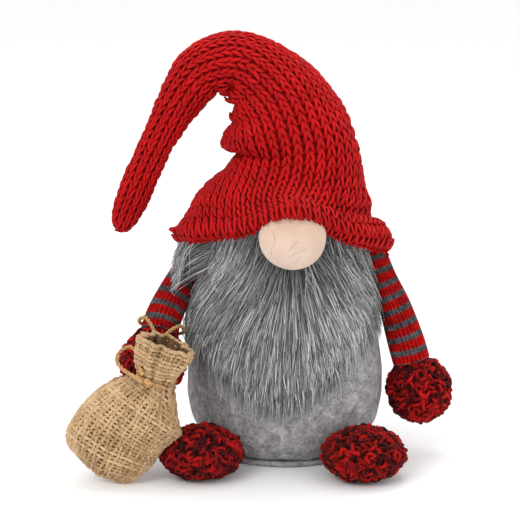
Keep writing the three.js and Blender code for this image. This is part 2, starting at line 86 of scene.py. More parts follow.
def through(points, count):
    """A smooth line through points, count steps to each span."""
    points = np.array(points, float)
    ends = [2 * points[0] - points[1], *points, 2 * points[-1] - points[-2]]
    line = []
    for i in range(1, len(ends) - 2):
        a, b, c, d = ends[i - 1:i + 3]
        t1 = max(np.linalg.norm(b - a), 1e-9) ** 0.5
        t2 = t1 + max(np.linalg.norm(c - b), 1e-9) ** 0.5
        t3 = t2 + max(np.linalg.norm(d - c), 1e-9) ** 0.5
        for t in np.linspace(t1, t2, count, endpoint=False):
            ab = a + (b - a) * t / t1
            bc = b + (c - b) * (t - t1) / (t2 - t1)
            cd = c + (d - c) * (t - t2) / (t3 - t2)
            abc = ab + (bc - ab) * t / t2
            bcd = bc + (cd - bc) * (t - t1) / (t3 - t1)
            line.append(abc + (bcd - abc) * (t - t1) / (t2 - t1))
    return np.array([*line, points[-1]])


def lengths_along(points):
    """How far along a line each of its points is."""
    return np.concatenate([[0], np.cumsum(np.linalg.norm(np.diff(points, axis=0), axis=1))])


class Path:
    """A line that can be asked for its place and direction at any length along it."""

    def __init__(self, points, count=24):
        self.points = through(points, count)
        self.lengths = lengths_along(self.points)
        self.length = self.lengths[-1]

    def at(self, length):
        return np.stack([np.interp(length, self.lengths, self.points[:, i]) for i in range(3)], -1)

    def along(self, length, step=0.6 * MM):
        length = np.clip(length, 0, self.length)
        away = self.at(np.minimum(length + step, self.length)) - self.at(np.maximum(length - step, 0))
        return away / np.linalg.norm(away, axis=-1, keepdims=True)


def unit(vectors):
    return vectors / np.maximum(np.linalg.norm(vectors, axis=-1, keepdims=True), 1e-12)


def plain_mesh(name, points, faces=(), edges=()):
    mesh = bpy.data.meshes.new(name)
    mesh.from_pydata([tuple(p) for p in points], edges, faces)
    mesh.update()
    return mesh


def shown(name, mesh, material=None, smooth=True):
    piece = bpy.data.objects.new(name, mesh)
    scene.collection.objects.link(piece)
    if material:
        mesh.materials.clear()
        mesh.materials.append(material)
    if smooth:
        mesh.shade_smooth()
    return piece


def set_values(mesh, name, kind, values):
    layer = mesh.attributes.new(name, kind, "POINT")
    field = "vector" if kind == "FLOAT_VECTOR" else "value"
    layer.data.foreach_set(field, np.asarray(values, np.float32).ravel())


def put(owner, kind, **values):
    """A node in a tree or a material. A value is a plain one, or another node's output to link."""
    tree = getattr(owner, "node_tree", owner)
    node = tree.nodes.new(kind)
    for label, value in values.items():
        if label in ("operation", "attribute_name", "data_type"):
            setattr(node, label, value)
            continue
        numbered = label[0] == "i" and label[1:].isdigit()
        socket = node.inputs[int(label[1:]) if numbered else label.replace("_", " ")]
        if isinstance(value, bpy.types.NodeSocket):
            tree.links.new(value, socket)
        else:
            socket.default_value = value
    return node


def new_tree(name, inputs):
    tree = bpy.data.node_groups.new(name, "GeometryNodeTree")
    tree.interface.new_socket("Geometry", in_out="INPUT", socket_type="NodeSocketGeometry")
    tree.interface.new_socket("Geometry", in_out="OUTPUT", socket_type="NodeSocketGeometry")
    for label, kind in inputs:
        tree.interface.new_socket(label, in_out="INPUT", socket_type=kind)
    entry = tree.nodes.new("NodeGroupInput")
    leave = tree.nodes.new("NodeGroupOutput")
    return tree, entry.outputs, leave


def named_value(tree, name, kind):
    return put(tree, "GeometryNodeInputNamedAttribute", data_type=kind, Name=name).outputs["Attribute"]


def grown(name, mesh, tree, inputs):
    """Runs a tree on a mesh, and keeps the result as a plain mesh."""
    piece = bpy.data.objects.new(name, mesh)
    scene.collection.objects.link(piece)
    modifier = piece.modifiers.new("grow", "NODES")
    modifier.node_group = tree
    for socket in tree.interface.items_tree:
        if socket.in_out == "INPUT" and socket.name in inputs:
            modifier[socket.identifier] = inputs[socket.name]
    graph = bpy.context.evaluated_depsgraph_get()
    result = bpy.data.meshes.new_from_object(
        piece.evaluated_get(graph), preserve_all_data_layers=True, depsgraph=graph)
    piece.modifiers.clear()
    piece.data = result
    result.shade_smooth()
    return piece


def finished_tree(tree, given, leave, shape):
    """The last steps of a tree: its copies made real, its cloth put on, and out."""
    whole = put(tree, "GeometryNodeRealizeInstances", Geometry=shape)
    paint = put(tree, "GeometryNodeSetMaterial", Geometry=whole.outputs["Geometry"], Material=given["Cloth"])
    tree.links.new(paint.outputs["Geometry"], leave.inputs["Geometry"])
    return tree


def strand_tree():
    """Loose edges become round strands, as thick as each point says."""
    tree, given, leave = new_tree("round_strands", [
        ("Strand Radius", "NodeSocketFloat"), ("Strand Sides", "NodeSocketInt"),
        ("Cloth", "NodeSocketMaterial")])
    curve = put(tree, "GeometryNodeMeshToCurve", Mesh=given["Geometry"])
    ring = put(tree, "GeometryNodeCurvePrimitiveCircle", Resolution=given["Strand Sides"], Radius=1)
    thick = put(tree, "ShaderNodeMath", operation="MULTIPLY", i0=named_value(tree, "thick", "FLOAT"),
                i1=given["Strand Radius"])
    skin = put(tree, "GeometryNodeCurveToMesh", Curve=curve.outputs["Curve"],
               Profile_Curve=ring.outputs["Curve"], Scale=thick.outputs[0], Fill_Caps=True)
    return finished_tree(tree, given, leave, skin.outputs["Mesh"])


STRANDS = strand_tree()


def strands(name, runs, radius, sides, material, thick=None, **values):
    """runs is a list of point arrays; thick and the other values are one array for each run."""
    counts = [len(run) for run in runs]
    points = np.concatenate(runs)
    edges, start = [], 0
    for count in counts:
        edges.append(np.stack([np.arange(start, start + count - 1), np.arange(start + 1, start + count)], 1))
        start += count
    edges = np.concatenate(edges)
    mesh = bpy.data.meshes.new(name)
    mesh.vertices.add(len(points))
    mesh.vertices.foreach_set("co", points.astype(np.float32).ravel())
    mesh.edges.add(len(edges))
    mesh.edges.foreach_set("vertices", edges.astype(np.int32).ravel())
    set_values(mesh, "thick", "FLOAT", np.ones(len(points)) if thick is None else np.concatenate(thick))
    for label, value in values.items():
        set_values(mesh, label, "FLOAT", np.concatenate(value))
    mesh.update()
    return grown(name, mesh, STRANDS, {"Strand Radius": radius, "Strand Sides": sides, "Cloth": material})


def shader_of(name, rough, sheen=0.0, sheen_tint=(1, 1, 1)):
    material = bpy.data.materials.new(name)
    material.use_nodes = True
    shader = material.node_tree.nodes["Principled BSDF"]
    shader.inputs["Roughness"].default_value = rough
    shader.inputs["Specular IOR Level"].default_value = 0.12
    shader.inputs["Sheen Weight"].default_value = sheen
    shader.inputs["Sheen Roughness"].default_value = 0.5
    shader.inputs["Sheen Tint"].default_value = (*sheen_tint, 1)
    return material, shader


def ramp(material, factor, stops):
    node = put(material, "ShaderNodeValToRGB", Fac=factor)
    elements = node.color_ramp.elements
    while len(elements) < len(stops):
        elements.new(0.5)
    for element, (place, colour) in zip(elements, stops):
        element.position = place
        element.color = (*linear(colour), 1)
    return node.outputs["Color"]


def linear(colour):
    """A colour as a screen shows it, 0 to 255, as light."""
    return [(c / 255 / 12.92) if c / 255 <= 0.04045 else ((c / 255 + 0.055) / 1.055) ** 2.4 for c in colour]


def bumped(material, shader, height, depth, distance):
    bump = put(material, "ShaderNodeBump", Height=height, Strength=depth, Distance=distance)
    material.node_tree.links.new(bump.outputs["Normal"], shader.inputs["Normal"])


def place_on_piece(material):
    return put(material, "ShaderNodeTexCoord").outputs["Object"]


def mottle(material, scale, detail, rough=0.5):
    """Noise fixed to the piece, for uneven dye and for fibres."""
    return put(material, "ShaderNodeTexNoise", Vector=place_on_piece(material), Scale=scale, Detail=detail,
               Roughness=rough).outputs["Fac"]


def carried(material, name):
    """A value that the mesh's own points carry."""
    return put(material, "ShaderNodeAttribute", attribute_name=name).outputs["Fac"]


def share_plus(material, value, share, more):
    """value times share, plus more, at each point of the surface."""
    return put(material, "ShaderNodeMath", operation="MULTIPLY_ADD", i0=value, i1=share, i2=more).outputs[0]


def dyed(material, shader, factor, stops):
    material.node_tree.links.new(ramp(material, factor, stops), shader.inputs["Base Color"])


def jute_material(name, stops, grain):
    material, shader = shader_of(name, 0.85, 0.15, (1.0, 0.85, 0.6))
    fibre = mottle(material, grain, 4.0, 0.7)
    mixed = share_plus(material, mottle(material, 70.0, 2.0), 0.5, fibre)
    shifted = share_plus(material, carried(material, "tint"), 0.35, mixed)
    dyed(material, shader, share_plus(material, shifted, 0.75, -0.2), stops)
    bumped(material, shader, fibre, 0.6, 0.4 * MM)
    return material


JUTE_TWINE = jute_material("jute_twine", [(0.15, (134, 94, 54)), (0.5, (206, 164, 112)),
                                          (0.9, (236, 204, 158))], 900)


def laid_twine(name, path, hairs, seed):
    """Two plies that twist round the path, with loose fibres standing off them."""
    rng = np.random.default_rng(seed)
    where = np.arange(0, path.length, 0.7 * MM)
    centre, along = path.at(where), path.along(where)
    across = unit(np.cross(along, np.array([0.31, 0.2, 0.93])))
    other = np.cross(along, across)
    turn = where / TWINE_LAY * 2 * np.pi
    runs, thick, tint = [], [], []
    for ply in (0, np.pi):
        swing = across * np.cos(turn + ply)[:, None] + other * np.sin(turn + ply)[:, None]
        runs.append(centre + swing * TWINE * 0.24)
        thick.append(1 + 0.08 * np.sin(where * 900 + ply))
        tint.append(np.full(len(where), rng.uniform(-0.1, 0.3)))
    for _ in range(hairs):
        at = rng.integers(2, len(where) - 2)
        out = unit(rng.normal(size=3))
        t = np.linspace(0, 1, 5)[:, None]
        bend = unit(rng.normal(size=3)) * 0.8 * MM
        runs.append(centre[at] + out * TWINE * 0.3 + t * out * rng.uniform(0.7, 1.5) * MM + t ** 2 * bend)
        thick.append(np.linspace(0.12, 0.05, 5))
        tint.append(np.full(5, 0.4))
    return strands(name, runs, TWINE * 0.27, TWINE_SIDES, JUTE_TWINE, thick, tint=tint)


TIE = joint_at["sack_swing"]
BOW_HAIRS = 26
BOW_ROUTE = TIE + MM * np.array([
    [-6.5, -18, 5], [-12, -16.5, 9], [-19, -12, 12], [-24, -7, 16], [-24.5, -1.5, 20], [-21, 3, 23.5],
    [-16, 4.5, 25], [-11.5, 2, 22.5], [-9.5, -4, 18], [-8, -10.5, 14], [-6, -17, 10.5]])
bow_path = Path(BOW_ROUTE, 10)
sack_bow = laid_twine("jute_bow", bow_path, BOW_HAIRS, 3)
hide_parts("sack_bow")
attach(sack_bow, "sack")


# ---------------------------------------------------------------- felt body and base
# A stuffed bag of pressed grey felt, sewn with its seam turned in, closed by an oval felt
# disc. The felt is heathered: pale and dark wool fibres carded together.

body_low, body_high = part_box("felt_body")
BODY_RADIUS = body_high.x
BODY_HEIGHT = body_high.z
BODY_DEPTH = 0.9
FULLNESS = 3.2 * MM  # how far the filling swells the felt at its widest
SWELL = 1.2 * MM  # how far the cloth may move when the bag is filled
SWELL_STEPS = 12
base_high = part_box("felt_base")[1]
SIDE = through([
    [base_high.x, body_low.z], [BODY_RADIUS * 0.945, BODY_HEIGHT * 0.115], [BODY_RADIUS, BODY_HEIGHT * 0.255],
    [BODY_RADIUS * 0.958, BODY_HEIGHT * 0.448], [BODY_RADIUS * 0.852, BODY_HEIGHT * 0.59],
    [BODY_RADIUS * 0.76, BODY_HEIGHT * 0.707], [BODY_RADIUS * 0.69, BODY_HEIGHT * 0.85],
    [BODY_RADIUS * 0.5, BODY_HEIGHT * 0.943], [6 * MM, BODY_HEIGHT]], 8)


def body_radius(height):
    fullness = FULLNESS * np.exp(-((height - BODY_HEIGHT * 0.27) / (BODY_HEIGHT * 0.2)) ** 2)
    return np.interp(height, SIDE[:, 1], SIDE[:, 0]) + fullness


def ripple(points, scale, seed=0.0):
    """A soft lumpiness from -1 to 1 at each point, scale being the size of a lump."""
    x, y, z = (np.asarray(points) / scale + seed).T
    value = np.sin(x * 1.7 + 1.3 * np.sin(y * 1.1 + seed)) + np.sin(y * 2.1 + 1.1 * np.sin(z * 1.4))
    return (value + np.sin(z * 1.9 + 1.2 * np.sin(x * 1.6 + 2)) + 0.6 * np.sin(x * 3.1 + z * 2.7)) / 3.6


def skin(name, rows, material, close=True):
    """A closed surface from rings of points, each ring the same count, capped at both ends."""
    count = len(rows[0])
    points = np.concatenate(rows)
    faces = []
    for r in range(len(rows) - 1):
        for i in range(count):
            j = (i + 1) % count
            faces.append((r * count + i, r * count + j, (r + 1) * count + j, (r + 1) * count + i))
    if close:
        first, last = len(points), len(points) + 1
        points = np.concatenate([points, [rows[0].mean(0)], [rows[-1].mean(0)]])
        top = (len(rows) - 1) * count
        for i in range(count):
            j = (i + 1) % count
            faces.append((first, j, i))
            faces.append((last, top + i, top + j))
    piece = shown(name, plain_mesh(name, points, faces), material)
    outward(piece)
    return piece


def outward(piece):
    """Turns a closed mesh's faces to point out."""
    work = bmesh.new()
    work.from_mesh(piece.data)
    bmesh.ops.recalc_face_normals(work, faces=work.faces)
    if work.calc_volume(signed=True) < 0:
        bmesh.ops.reverse_faces(work, faces=work.faces)
    work.to_mesh(piece.data)
    work.free()
    piece.data.shade_smooth()


def felt_material():
    material, shader = shader_of("grey_felt", 0.95, 0.08)
    wool = mottle(material, 420.0, 6.0, 0.75)
    flecks = put(material, "ShaderNodeTexVoronoi", Vector=place_on_piece(material), Scale=520.0)
    mixed = share_plus(material, mottle(material, 130.0, 3.0, 0.6), 0.7, wool)
    dyed(material, shader, share_plus(material, mixed, 1.5, -0.82),
         [(0.05, (92, 90, 91)), (0.4, (136, 134, 135)), (0.6, (160, 158, 159)), (0.95, (200, 198, 200))])
    bumped(material, shader, share_plus(material, flecks.outputs["Distance"], 0.5, wool), 0.55, 0.7 * MM)
    return material


FELT = felt_material()


def all_round(count):
    """Angles evenly spaced once round."""
    return np.linspace(0, 2 * np.pi, count, endpoint=False)


def body_ring(height, radius, count=96):
    angle = all_round(count)
    return np.stack([radius * np.sin(angle), -BODY_DEPTH * radius * np.cos(angle), np.full(count, height)], 1)


def corners(piece):
    return np.array([v.co for v in piece.data.vertices])


def move_corners(piece, places):
    piece.data.vertices.foreach_set("co", places.astype(np.float32).ravel())
    piece.data.update()


def applied(piece, modifier):
    bpy.context.view_layer.objects.active = piece
    bpy.ops.object.modifier_apply(modifier=modifier.name)


def filled_out(piece, cap, voxel):
    """Fills a sewn bag as stuffing does: pressure swells the cloth, and no point moves past the cap."""
    piece.select_set(True)
    remesh = piece.modifiers.new("remesh", "REMESH")
    remesh.mode = "VOXEL"
    remesh.voxel_size = voxel
    applied(piece, remesh)
    before = corners(piece)
    cloth = piece.modifiers.new("swell", "CLOTH")
    cloth.settings.use_pressure = True
    cloth.settings.uniform_pressure_force = 4
    cloth.settings.effector_weights.gravity = 0
    for moment in range(1, SWELL_STEPS + 1):
        scene.frame_set(moment)
    applied(piece, cloth)
    scene.frame_set(1)
    away = corners(piece) - before
    reach = np.linalg.norm(away, axis=1, keepdims=True)
    move_corners(piece, before + away * np.minimum(1, cap / np.maximum(reach, 1e-9)))
    piece.select_set(False)


felt_rings = []
for height in np.concatenate([np.linspace(body_low.z, 12 * MM, 5), np.linspace(15 * MM, BODY_HEIGHT, 60)]):
    felt_rings.append(body_ring(height, float(body_radius(height)) - SWELL))
felt_body = skin("felt_body_bag", felt_rings, FELT)
filled_out(felt_body, SWELL, 4.5 * MM)
smoothing = felt_body.modifiers.new("smooth", "SUBSURF")
smoothing.levels = smoothing.render_levels = 1
applied(felt_body, smoothing)
places = corners(felt_body)
lumps = 0.9 * MM * ripple(places, 26 * MM) + 0.25 * MM * ripple(places, 6 * MM, 3)
places = places + unit(places * [1, 1, 0]) * lumps[:, None]
places[:, 2] = np.maximum(places[:, 2], body_low.z)
move_corners(felt_body, places)
felt_body.data.shade_smooth()
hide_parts("felt_body", "body_stuffing")
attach(felt_body, "body")

base_rings = []
for height, share in [(0.0, 0.96), (0.6, 0.985), (1.8, 1.0), (3.2, 1.0), (3.9, 0.99)]:
    base_rings.append(body_ring(height * MM, base_high.x * share, 72))
felt_base = skin("felt_base_disc", base_rings, FELT)
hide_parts("felt_base")
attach(felt_base, "body")


# ---------------------------------------------------------------- nose
# A ball of fine flesh-coloured jersey drawn over filling and sewn on by its gathered back.
# A few dark hairs of the beard lie across it.

nose_low, nose_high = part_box("nose_skin")
NOSE = np.array((nose_low + nose_high) / 2)
NOSE_RADIUS = (nose_high.x - nose_low.x) / 2
NOSE_SHAPE = [1.0, 0.96, 0.965]


def ball_points(polar, turn):
    """Points on a ball of radius 1, polar being the angle down from its top."""
    polar, turn = np.broadcast_arrays(polar, turn)
    return np.stack([np.sin(polar) * np.cos(turn), np.sin(polar) * np.sin(turn), np.cos(polar)], 1)


def nose_material():
    material, shader = shader_of("nose_jersey", 0.75, 0.3, (1.0, 0.9, 0.85))
    dyed(material, shader, mottle(material, 28.0, 3.0), [(0.3, (197, 168, 149)), (0.6, (212, 190, 174))])
    shader.inputs["Subsurface Weight"].default_value = 0.12
    shader.inputs["Subsurface Radius"].default_value = (1.0, 0.5, 0.35)
    shader.inputs["Subsurface Scale"].default_value = 2 * MM
    bumped(material, shader, mottle(material, 900.0, 3.0), 0.35, 0.25 * MM)
    return material


turn = all_round(64)
nose_rings = []
for angle in np.linspace(0.12, np.pi - 0.03, 44):
    ring = ball_points(angle, turn)[:, [1, 2, 0]]
    gather = 1 - 0.02 * np.cos(turn * 14) * max(0, 1 - angle / 0.9)
    lump = 1 + 0.012 * ripple(ring * NOSE_RADIUS, 12 * MM)
    nose_rings.append(NOSE + ring * NOSE_RADIUS * (gather * lump)[:, None] * NOSE_SHAPE)
nose = skin("nose_ball", nose_rings, nose_material())
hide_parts("nose_skin", "nose_filling")
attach(nose, "body")


# ---------------------------------------------------------------- beard
# Long-pile grey faux fur on a dark knitted backing, glued and sewn to the felt under the
# brim. The hairs lie down the front in locks, parted under the nose.

BEARD_ROOT = 190 * MM
BEARD_MIDDLE = -7 * MM
HAIR_POINTS = 8
HAIRS, LOCKS = 4300, 330
BEARD_FROM, BEARD_TO = -1.22, 1.12  # angles round the body, 0 at the front
LOWEST_ROOT = 62 * MM


def fur_material():
    material, shader = shader_of("grey_fur", 0.5, 0.1)
    shader.inputs["Specular IOR Level"].default_value = 0.35
    # Each hair is lighter from root to tip: painted shade deep in the pile.
    dyed(material, shader, share_plus(material, carried(material, "tip"), 0.3, carried(material, "tint")),
         [(0.0, (40, 40, 40)), (0.3, (84, 84, 83)), (0.6, (138, 138, 137)), (1.0, (214, 215, 216))])
    return material


FUR = fur_material()


def beard_end(x):
    """How low the hairs reach, at each distance from the beard's middle."""
    return 47 * MM + 18.0 * (x - BEARD_MIDDLE) ** 2


def combed(angle, height, length, lean, lift):
    """Hairs as (angle round the body, height, stand-off) at each point along them."""
    t = np.linspace(0, 1, HAIR_POINTS)
    step = length[:, None] / (HAIR_POINTS - 1)
    a, z = angle[:, None].repeat(HAIR_POINTS, 1), height[:, None].repeat(HAIR_POINTS, 1)
    for i in range(1, HAIR_POINTS):
        slope = lean * (1 - 0.65 * t[i])
        radius = body_radius(z[:, i - 1])
        a[:, i] = a[:, i - 1] + np.sin(slope) * step[:, 0] / radius
        z[:, i] = z[:, i - 1] - np.cos(slope) * step[:, 0]
    off = (2.2 * MM + lift[:, None] * np.sin(np.pi * np.minimum(t * 1.1, 1) ** 0.8) + 1.5 * MM * t)
    return a, z, off


def beard(count, seed):
    rng = np.random.default_rng(seed)

    def roots(many):
        a = rng.uniform(BEARD_FROM, BEARD_TO, many * 3)
        z = rng.uniform(LOWEST_ROOT, BEARD_ROOT, many * 3)
        x = body_radius(z) * np.sin(a)
        fits = (z > beard_end(x) + 14 * MM) & (np.abs(x - BEARD_MIDDLE) < 66 * MM)
        fits &= (np.hypot(x - NOSE[0], z - NOSE[2]) > NOSE_RADIUS * 0.8)
        fits &= (np.abs(x - NOSE[0]) > 17 * MM) | (z < NOSE[2])
        return a[fits][:many], z[fits][:many]

    def grow(a, z, jitter):
        x = body_radius(z) * np.sin(a) - NOSE[0]
        near = np.exp(-((z - NOSE[2] + NOSE_RADIUS) / (34 * MM)) ** 2)
        lean = 0.75 * np.tanh(x / (24 * MM)) * near + 0.32 * np.tanh(x / (50 * MM))
        lean = lean + rng.normal(0, jitter, len(a))
        full = rng.uniform(46, 66, len(a)) * MM
        reach = np.minimum(full, z - beard_end(x + NOSE[0]) + rng.normal(0, 6, len(a)) * MM)
        return combed(a, z, np.maximum(reach, 14 * MM), lean, rng.uniform(1.5, 7.5, len(a)) * MM)

    lock_a, lock_z = roots(LOCKS)
    lock = grow(lock_a, lock_z, 0.10)
    lock_tint = rng.normal(0, 0.15, len(lock_a))
    a0, z0 = roots(count)
    own = grow(a0, z0, 0.16)
    apart = ((a0[:, None] - lock_a[None]) * 60 * MM) ** 2 + (z0[:, None] - lock_z[None]) ** 2
    nearest = apart.argmin(1)
    t = np.linspace(0, 1, HAIR_POINTS)
    pull = rng.uniform(0.25, 0.8, len(a0))[:, None] * t ** 1.6
    a, z, off = (mine * (1 - pull) + theirs[nearest] * pull for mine, theirs in zip(own, lock))
    loose = rng.uniform(0, 1, len(a0)) < 0.05
    off = off + loose[:, None] * t ** 1.5 * rng.uniform(1, 5, len(a0))[:, None] * MM
    radius = body_radius(z) + off
    points = np.stack([radius * np.sin(a), -BODY_DEPTH * radius * np.cos(a), z], 2)
    # Some hairs at the gnome's right lie out over the top of the sleeve.
    over_sleeve = (a0 < -0.95) & (z0 > 148 * MM) & (rng.uniform(0, 1, len(a0)) < 0.7)
    points[..., 0] -= over_sleeve[:, None] * 19 * MM * np.sin(np.pi * 0.5 * np.minimum(t * 1.6, 1)) ** 1.5
    points[..., 1] -= over_sleeve[:, None] * 9 * MM * t ** 0.7
    sway = np.sin(t * rng.uniform(2, 6, len(a0))[:, None] + rng.uniform(0, 6, len(a0))[:, None]) * 0.5 * MM
    points[:, :, 0] += sway * t
    apart = points - NOSE
    reach = np.linalg.norm(apart, axis=2, keepdims=True)
    inside = (reach < NOSE_RADIUS) & (points[:, :, 2:] < NOSE[2] + 4 * MM)
    points = np.where(inside, NOSE + apart / reach * NOSE_RADIUS, points)
    tint = np.clip(0.5 + lock_tint[nearest] + rng.normal(0, 0.19, len(a0)), 0, 1)
    # Hairs lying close to the felt are painted darker, as shade under the pile.
    depth = np.clip((off.max(1) / MM - 3) / 8, 0, 1)
    tint = tint * (0.7 + 0.3 * depth)
    width = rng.uniform(0.7, 1.25, len(a0))[:, None] * np.clip(1.15 - t ** 2.2, 0.12, 1)
    return points, width, tint


for number, seed in enumerate((11, 12, 13)):
    points, width, tint = beard(HAIRS, seed)
    spread = tint[:, None].repeat(HAIR_POINTS, 1)
    tips = np.linspace(0, 1, HAIR_POINTS)[None].repeat(len(points), 0)
    hairs = strands(f"beard_hair_{number + 1}", list(points), 0.30 * MM, 3, FUR, list(width),
                    tint=list(spread), tip=list(tips))
    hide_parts("beard_pile")
    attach(hairs, "body")

strays, stray_thick = [], []
t = np.linspace(0, 1, 9)
# Each stray, in mm: where it starts from the nose's middle, how far it runs, and how much it bows.
for x, z, dx, dz, bow in [(-14, 8, -3, -16, 3), (4, 2, -6, -9, -2), (10, -4, -12, -7, -3),
                          (-15, -6, -4, -8, 2), (5, -9, -8, -7, 2)]:
    px = (x + dx * t + bow * np.sin(np.pi * t)) * MM
    pz = (z + dz * t) * MM
    depth = np.sqrt(np.maximum((NOSE_RADIUS * 0.975) ** 2 - px ** 2 - pz ** 2, 0))
    strays.append(NOSE + np.stack([px, -depth - 0.1 * MM, pz], 1))
    stray_thick.append(np.clip(1.1 - t ** 3, 0.2, 1))
stray_hairs = strands("nose_stray_hairs", strays, 0.08 * MM, 4, FUR, stray_thick,
                      tint=[np.full(9, 0.4)] * len(strays), tip=[np.zeros(9)] * len(strays))
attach(stray_hairs, "body")


# ---------------------------------------------------------------- knitted stitches
# Stocking stitch: each stitch is a loop of yarn that shows as a V, its point towards the
# edge where the knitting began. Used by the two sleeves and the hat.


def tube_faces(rings, sides, start=0):
    """The faces of a length of yarn: its sides, ring to ring, and its two ends."""
    faces = []
    for i in range(rings - 1):
        a, b = start + i * sides, start + (i + 1) * sides
        for j in range(sides):
            k = (j + 1) % sides
            faces.append((a + j, a + k, b + k, b + j))
    faces.append(tuple(start + j for j in reversed(range(sides))))
    faces.append(tuple(start + (rings - 1) * sides + j for j in range(sides)))
    return faces


def template(name, points, faces):
    """A mesh for a tree to copy, itself kept out of the scene."""
    piece = shown(name, plain_mesh(name, points, faces))
    outward(piece)
    scene.collection.objects.unlink(piece)
    return piece


def stitch_template(name, rings, sides, girth_of):
    """A V one unit wide and one tall: two bowed legs of yarn that meet at the foot."""
    points, faces, lay = [], [], []
    t = np.linspace(0, 1, rings)
    for side in (-1, 1):
        faces += tube_faces(rings, sides, len(points))
        x = side * (0.06 + 0.33 * t ** 0.8 + 0.05 * np.sin(np.pi * t))
        y = -0.66 + 1.38 * t
        z = -0.16 + 0.34 * np.sin(np.pi * np.clip(t * 0.95 + 0.05, 0, 1)) - 0.05 * t
        line = np.stack([x, y, z], 1)
        along = unit(np.gradient(line, axis=0))
        across = unit(np.cross(along, [0, 0, 1.0]))
        other = np.cross(across, along)
        girth = girth_of * np.sin(np.pi * np.clip(0.08 + 0.84 * t, 0, 1)) ** 0.45
        for i in range(rings):
            for j in range(sides):
                angle = 2 * np.pi * j / sides
                round_line = across[i] * math.cos(angle) + other[i] * math.sin(angle) * 0.9
                points.append(line[i] + girth[i] * round_line)
                lay.append((math.cos(angle), math.sin(angle), t[i] * side))
    piece = template(name, points, faces)
    set_values(piece.data, "lay", "FLOAT_VECTOR", lay)
    return piece


def stamp_tree():
    """Puts the template on every point, turned, sized and tinted as the point says."""
    tree, given, leave = new_tree("stitches_on_rows", [
        ("Template", "NodeSocketObject"), ("Stitch Size", "NodeSocketFloat"),
        ("Cloth", "NodeSocketMaterial")])
    points = put(tree, "GeometryNodeMeshToPoints", Mesh=given["Geometry"])
    shape = put(tree, "GeometryNodeObjectInfo", Object=given["Template"])
    grow = put(tree, "ShaderNodeVectorMath", operation="SCALE", i0=named_value(tree, "size", "FLOAT_VECTOR"),
               Scale=given["Stitch Size"])
    copies = put(tree, "GeometryNodeInstanceOnPoints", Points=points.outputs["Points"],
                 Instance=shape.outputs["Geometry"], Rotation=named_value(tree, "turn", "QUATERNION"),
                 Scale=grow.outputs[0])
    return finished_tree(tree, given, leave, copies.outputs["Instances"])


STAMPS = stamp_tree()


def turns_of(across, up, out):
    """The quaternion that turns x, y and z onto three directions, for each row."""
    values = []
    for a, b, c in zip(across, up, out):
        values.append(tuple(Matrix((a, b, c)).transposed().to_quaternion()))
    return np.array(values)


def stamped(name, places, turns, sizes, tints, template, material):
    mesh = plain_mesh(name, places)
    set_values(mesh, "turn", "QUATERNION", turns)
    set_values(mesh, "size", "FLOAT_VECTOR", sizes)
    set_values(mesh, "tint", "FLOAT", tints)
    return grown(name, mesh, STAMPS, {"Template": template, "Stitch Size": 1.0, "Cloth": material})


def yarn_material(name, stops, twist, rough=0.8):
    """Two-ply yarn: stripes of shade and height wind round each leg of a stitch."""
    material, shader = shader_of(name, rough)
    lay = put(material, "ShaderNodeAttribute", attribute_name="lay")
    parts = put(material, "ShaderNodeSeparateXYZ", Vector=lay.outputs["Vector"])
    angle = put(material, "ShaderNodeMath", operation="ARCTAN2", i0=parts.outputs["Y"], i1=parts.outputs["X"])
    wound = put(material, "ShaderNodeMath", operation="MULTIPLY", i0=angle.outputs[0], i1=float(PLIES))
    climb = share_plus(material, parts.outputs["Z"], float(twist), wound.outputs[0])
    wave = put(material, "ShaderNodeMath", operation="SINE", i0=climb).outputs[0]
    fibre = mottle(material, 700.0, 4.0, 0.7)
    shade = share_plus(material, wave, 0.10, carried(material, "tint"))
    shade = share_plus(material, fibre, 0.45, shade)
    shade = share_plus(material, mottle(material, 45.0, 2.0), 0.35, shade)
    level = put(material, "ShaderNodeMath", operation="SUBTRACT", i0=shade, i1=0.4)
    dyed(material, shader, level.outputs[0], stops)
    bumped(material, shader, share_plus(material, fibre, 0.8, wave), 0.7, 0.35 * MM)
    return material


def surface_grid(surface, where, angle):
    """Place, direction up, direction across and direction out of a surface at each (where, angle)."""
    step, turn = 0.8 * MM, 0.01
    place = surface(where, angle)
    up = unit(surface(where + step, angle) - surface(where - step, angle))
    across = surface(where, angle + turn) - surface(where, angle - turn)
    out = unit(np.cross(across, up))
    return place, up, unit(np.cross(up, out)), out


def tube_surface(path, radius_at, deep_at, flat=(0.0, 1.0, 0.0)):
    """A surface round a path: angle 0 is towards flat, as the model's own sections are."""
    flat = np.array(flat)

    def surface(where, angle):
        where, angle = np.broadcast_arrays(where, angle)
        along = path.along(where)
        side = unit(flat - along * (along @ flat)[..., None])
        other = np.cross(along, side)
        radius = radius_at(where, angle)[..., None]
        spread = other * np.sin(angle)[..., None] + side * (deep_at(where) * np.cos(angle))[..., None]
        return path.at(where) + radius * spread
    return surface


# ---------------------------------------------------------------- sleeves
# Tubes of fine stocking stitch in rings of three red rows and two grey rows, filled, and
# sewn to the body's side under the brim.

SLEEVE_PLAN = {
    # side, length, forward reach of the wrist, bow of the arm, of the elbow, flare of the cuff
    "right": (-1, 62 * MM, 27 * MM, 3 * MM, 3.5 * MM, 4 * MM),
    "left": (1, 84 * MM, 5 * MM, 0.0, 0.5 * MM, 4.5 * MM),
}
SHOULDER_HEIGHT = float(joint_at["shoulder_left"][2])
SLEEVE_TOP, SLEEVE_CUFF, SLEEVE_EASE = 10 * MM, 14 * MM, 2 * MM
ROW = 2.15 * MM
WALES = 26
LINING_SHARE = 0.94

SLEEVE_YARN = {
    "red": yarn_material("sleeve_red_yarn", [(0.0, (120, 4, 4)), (0.45, (222, 18, 14)),
                                             (1.0, (250, 60, 44))], 5),
    "grey": yarn_material("sleeve_grey_yarn", [(0.0, (46, 46, 48)), (0.45, (112, 112, 116)),
                                               (1.0, (178, 178, 184))], 5),
}
FINE_STITCH = stitch_template("fine_stitch", 4, 5, 0.2)


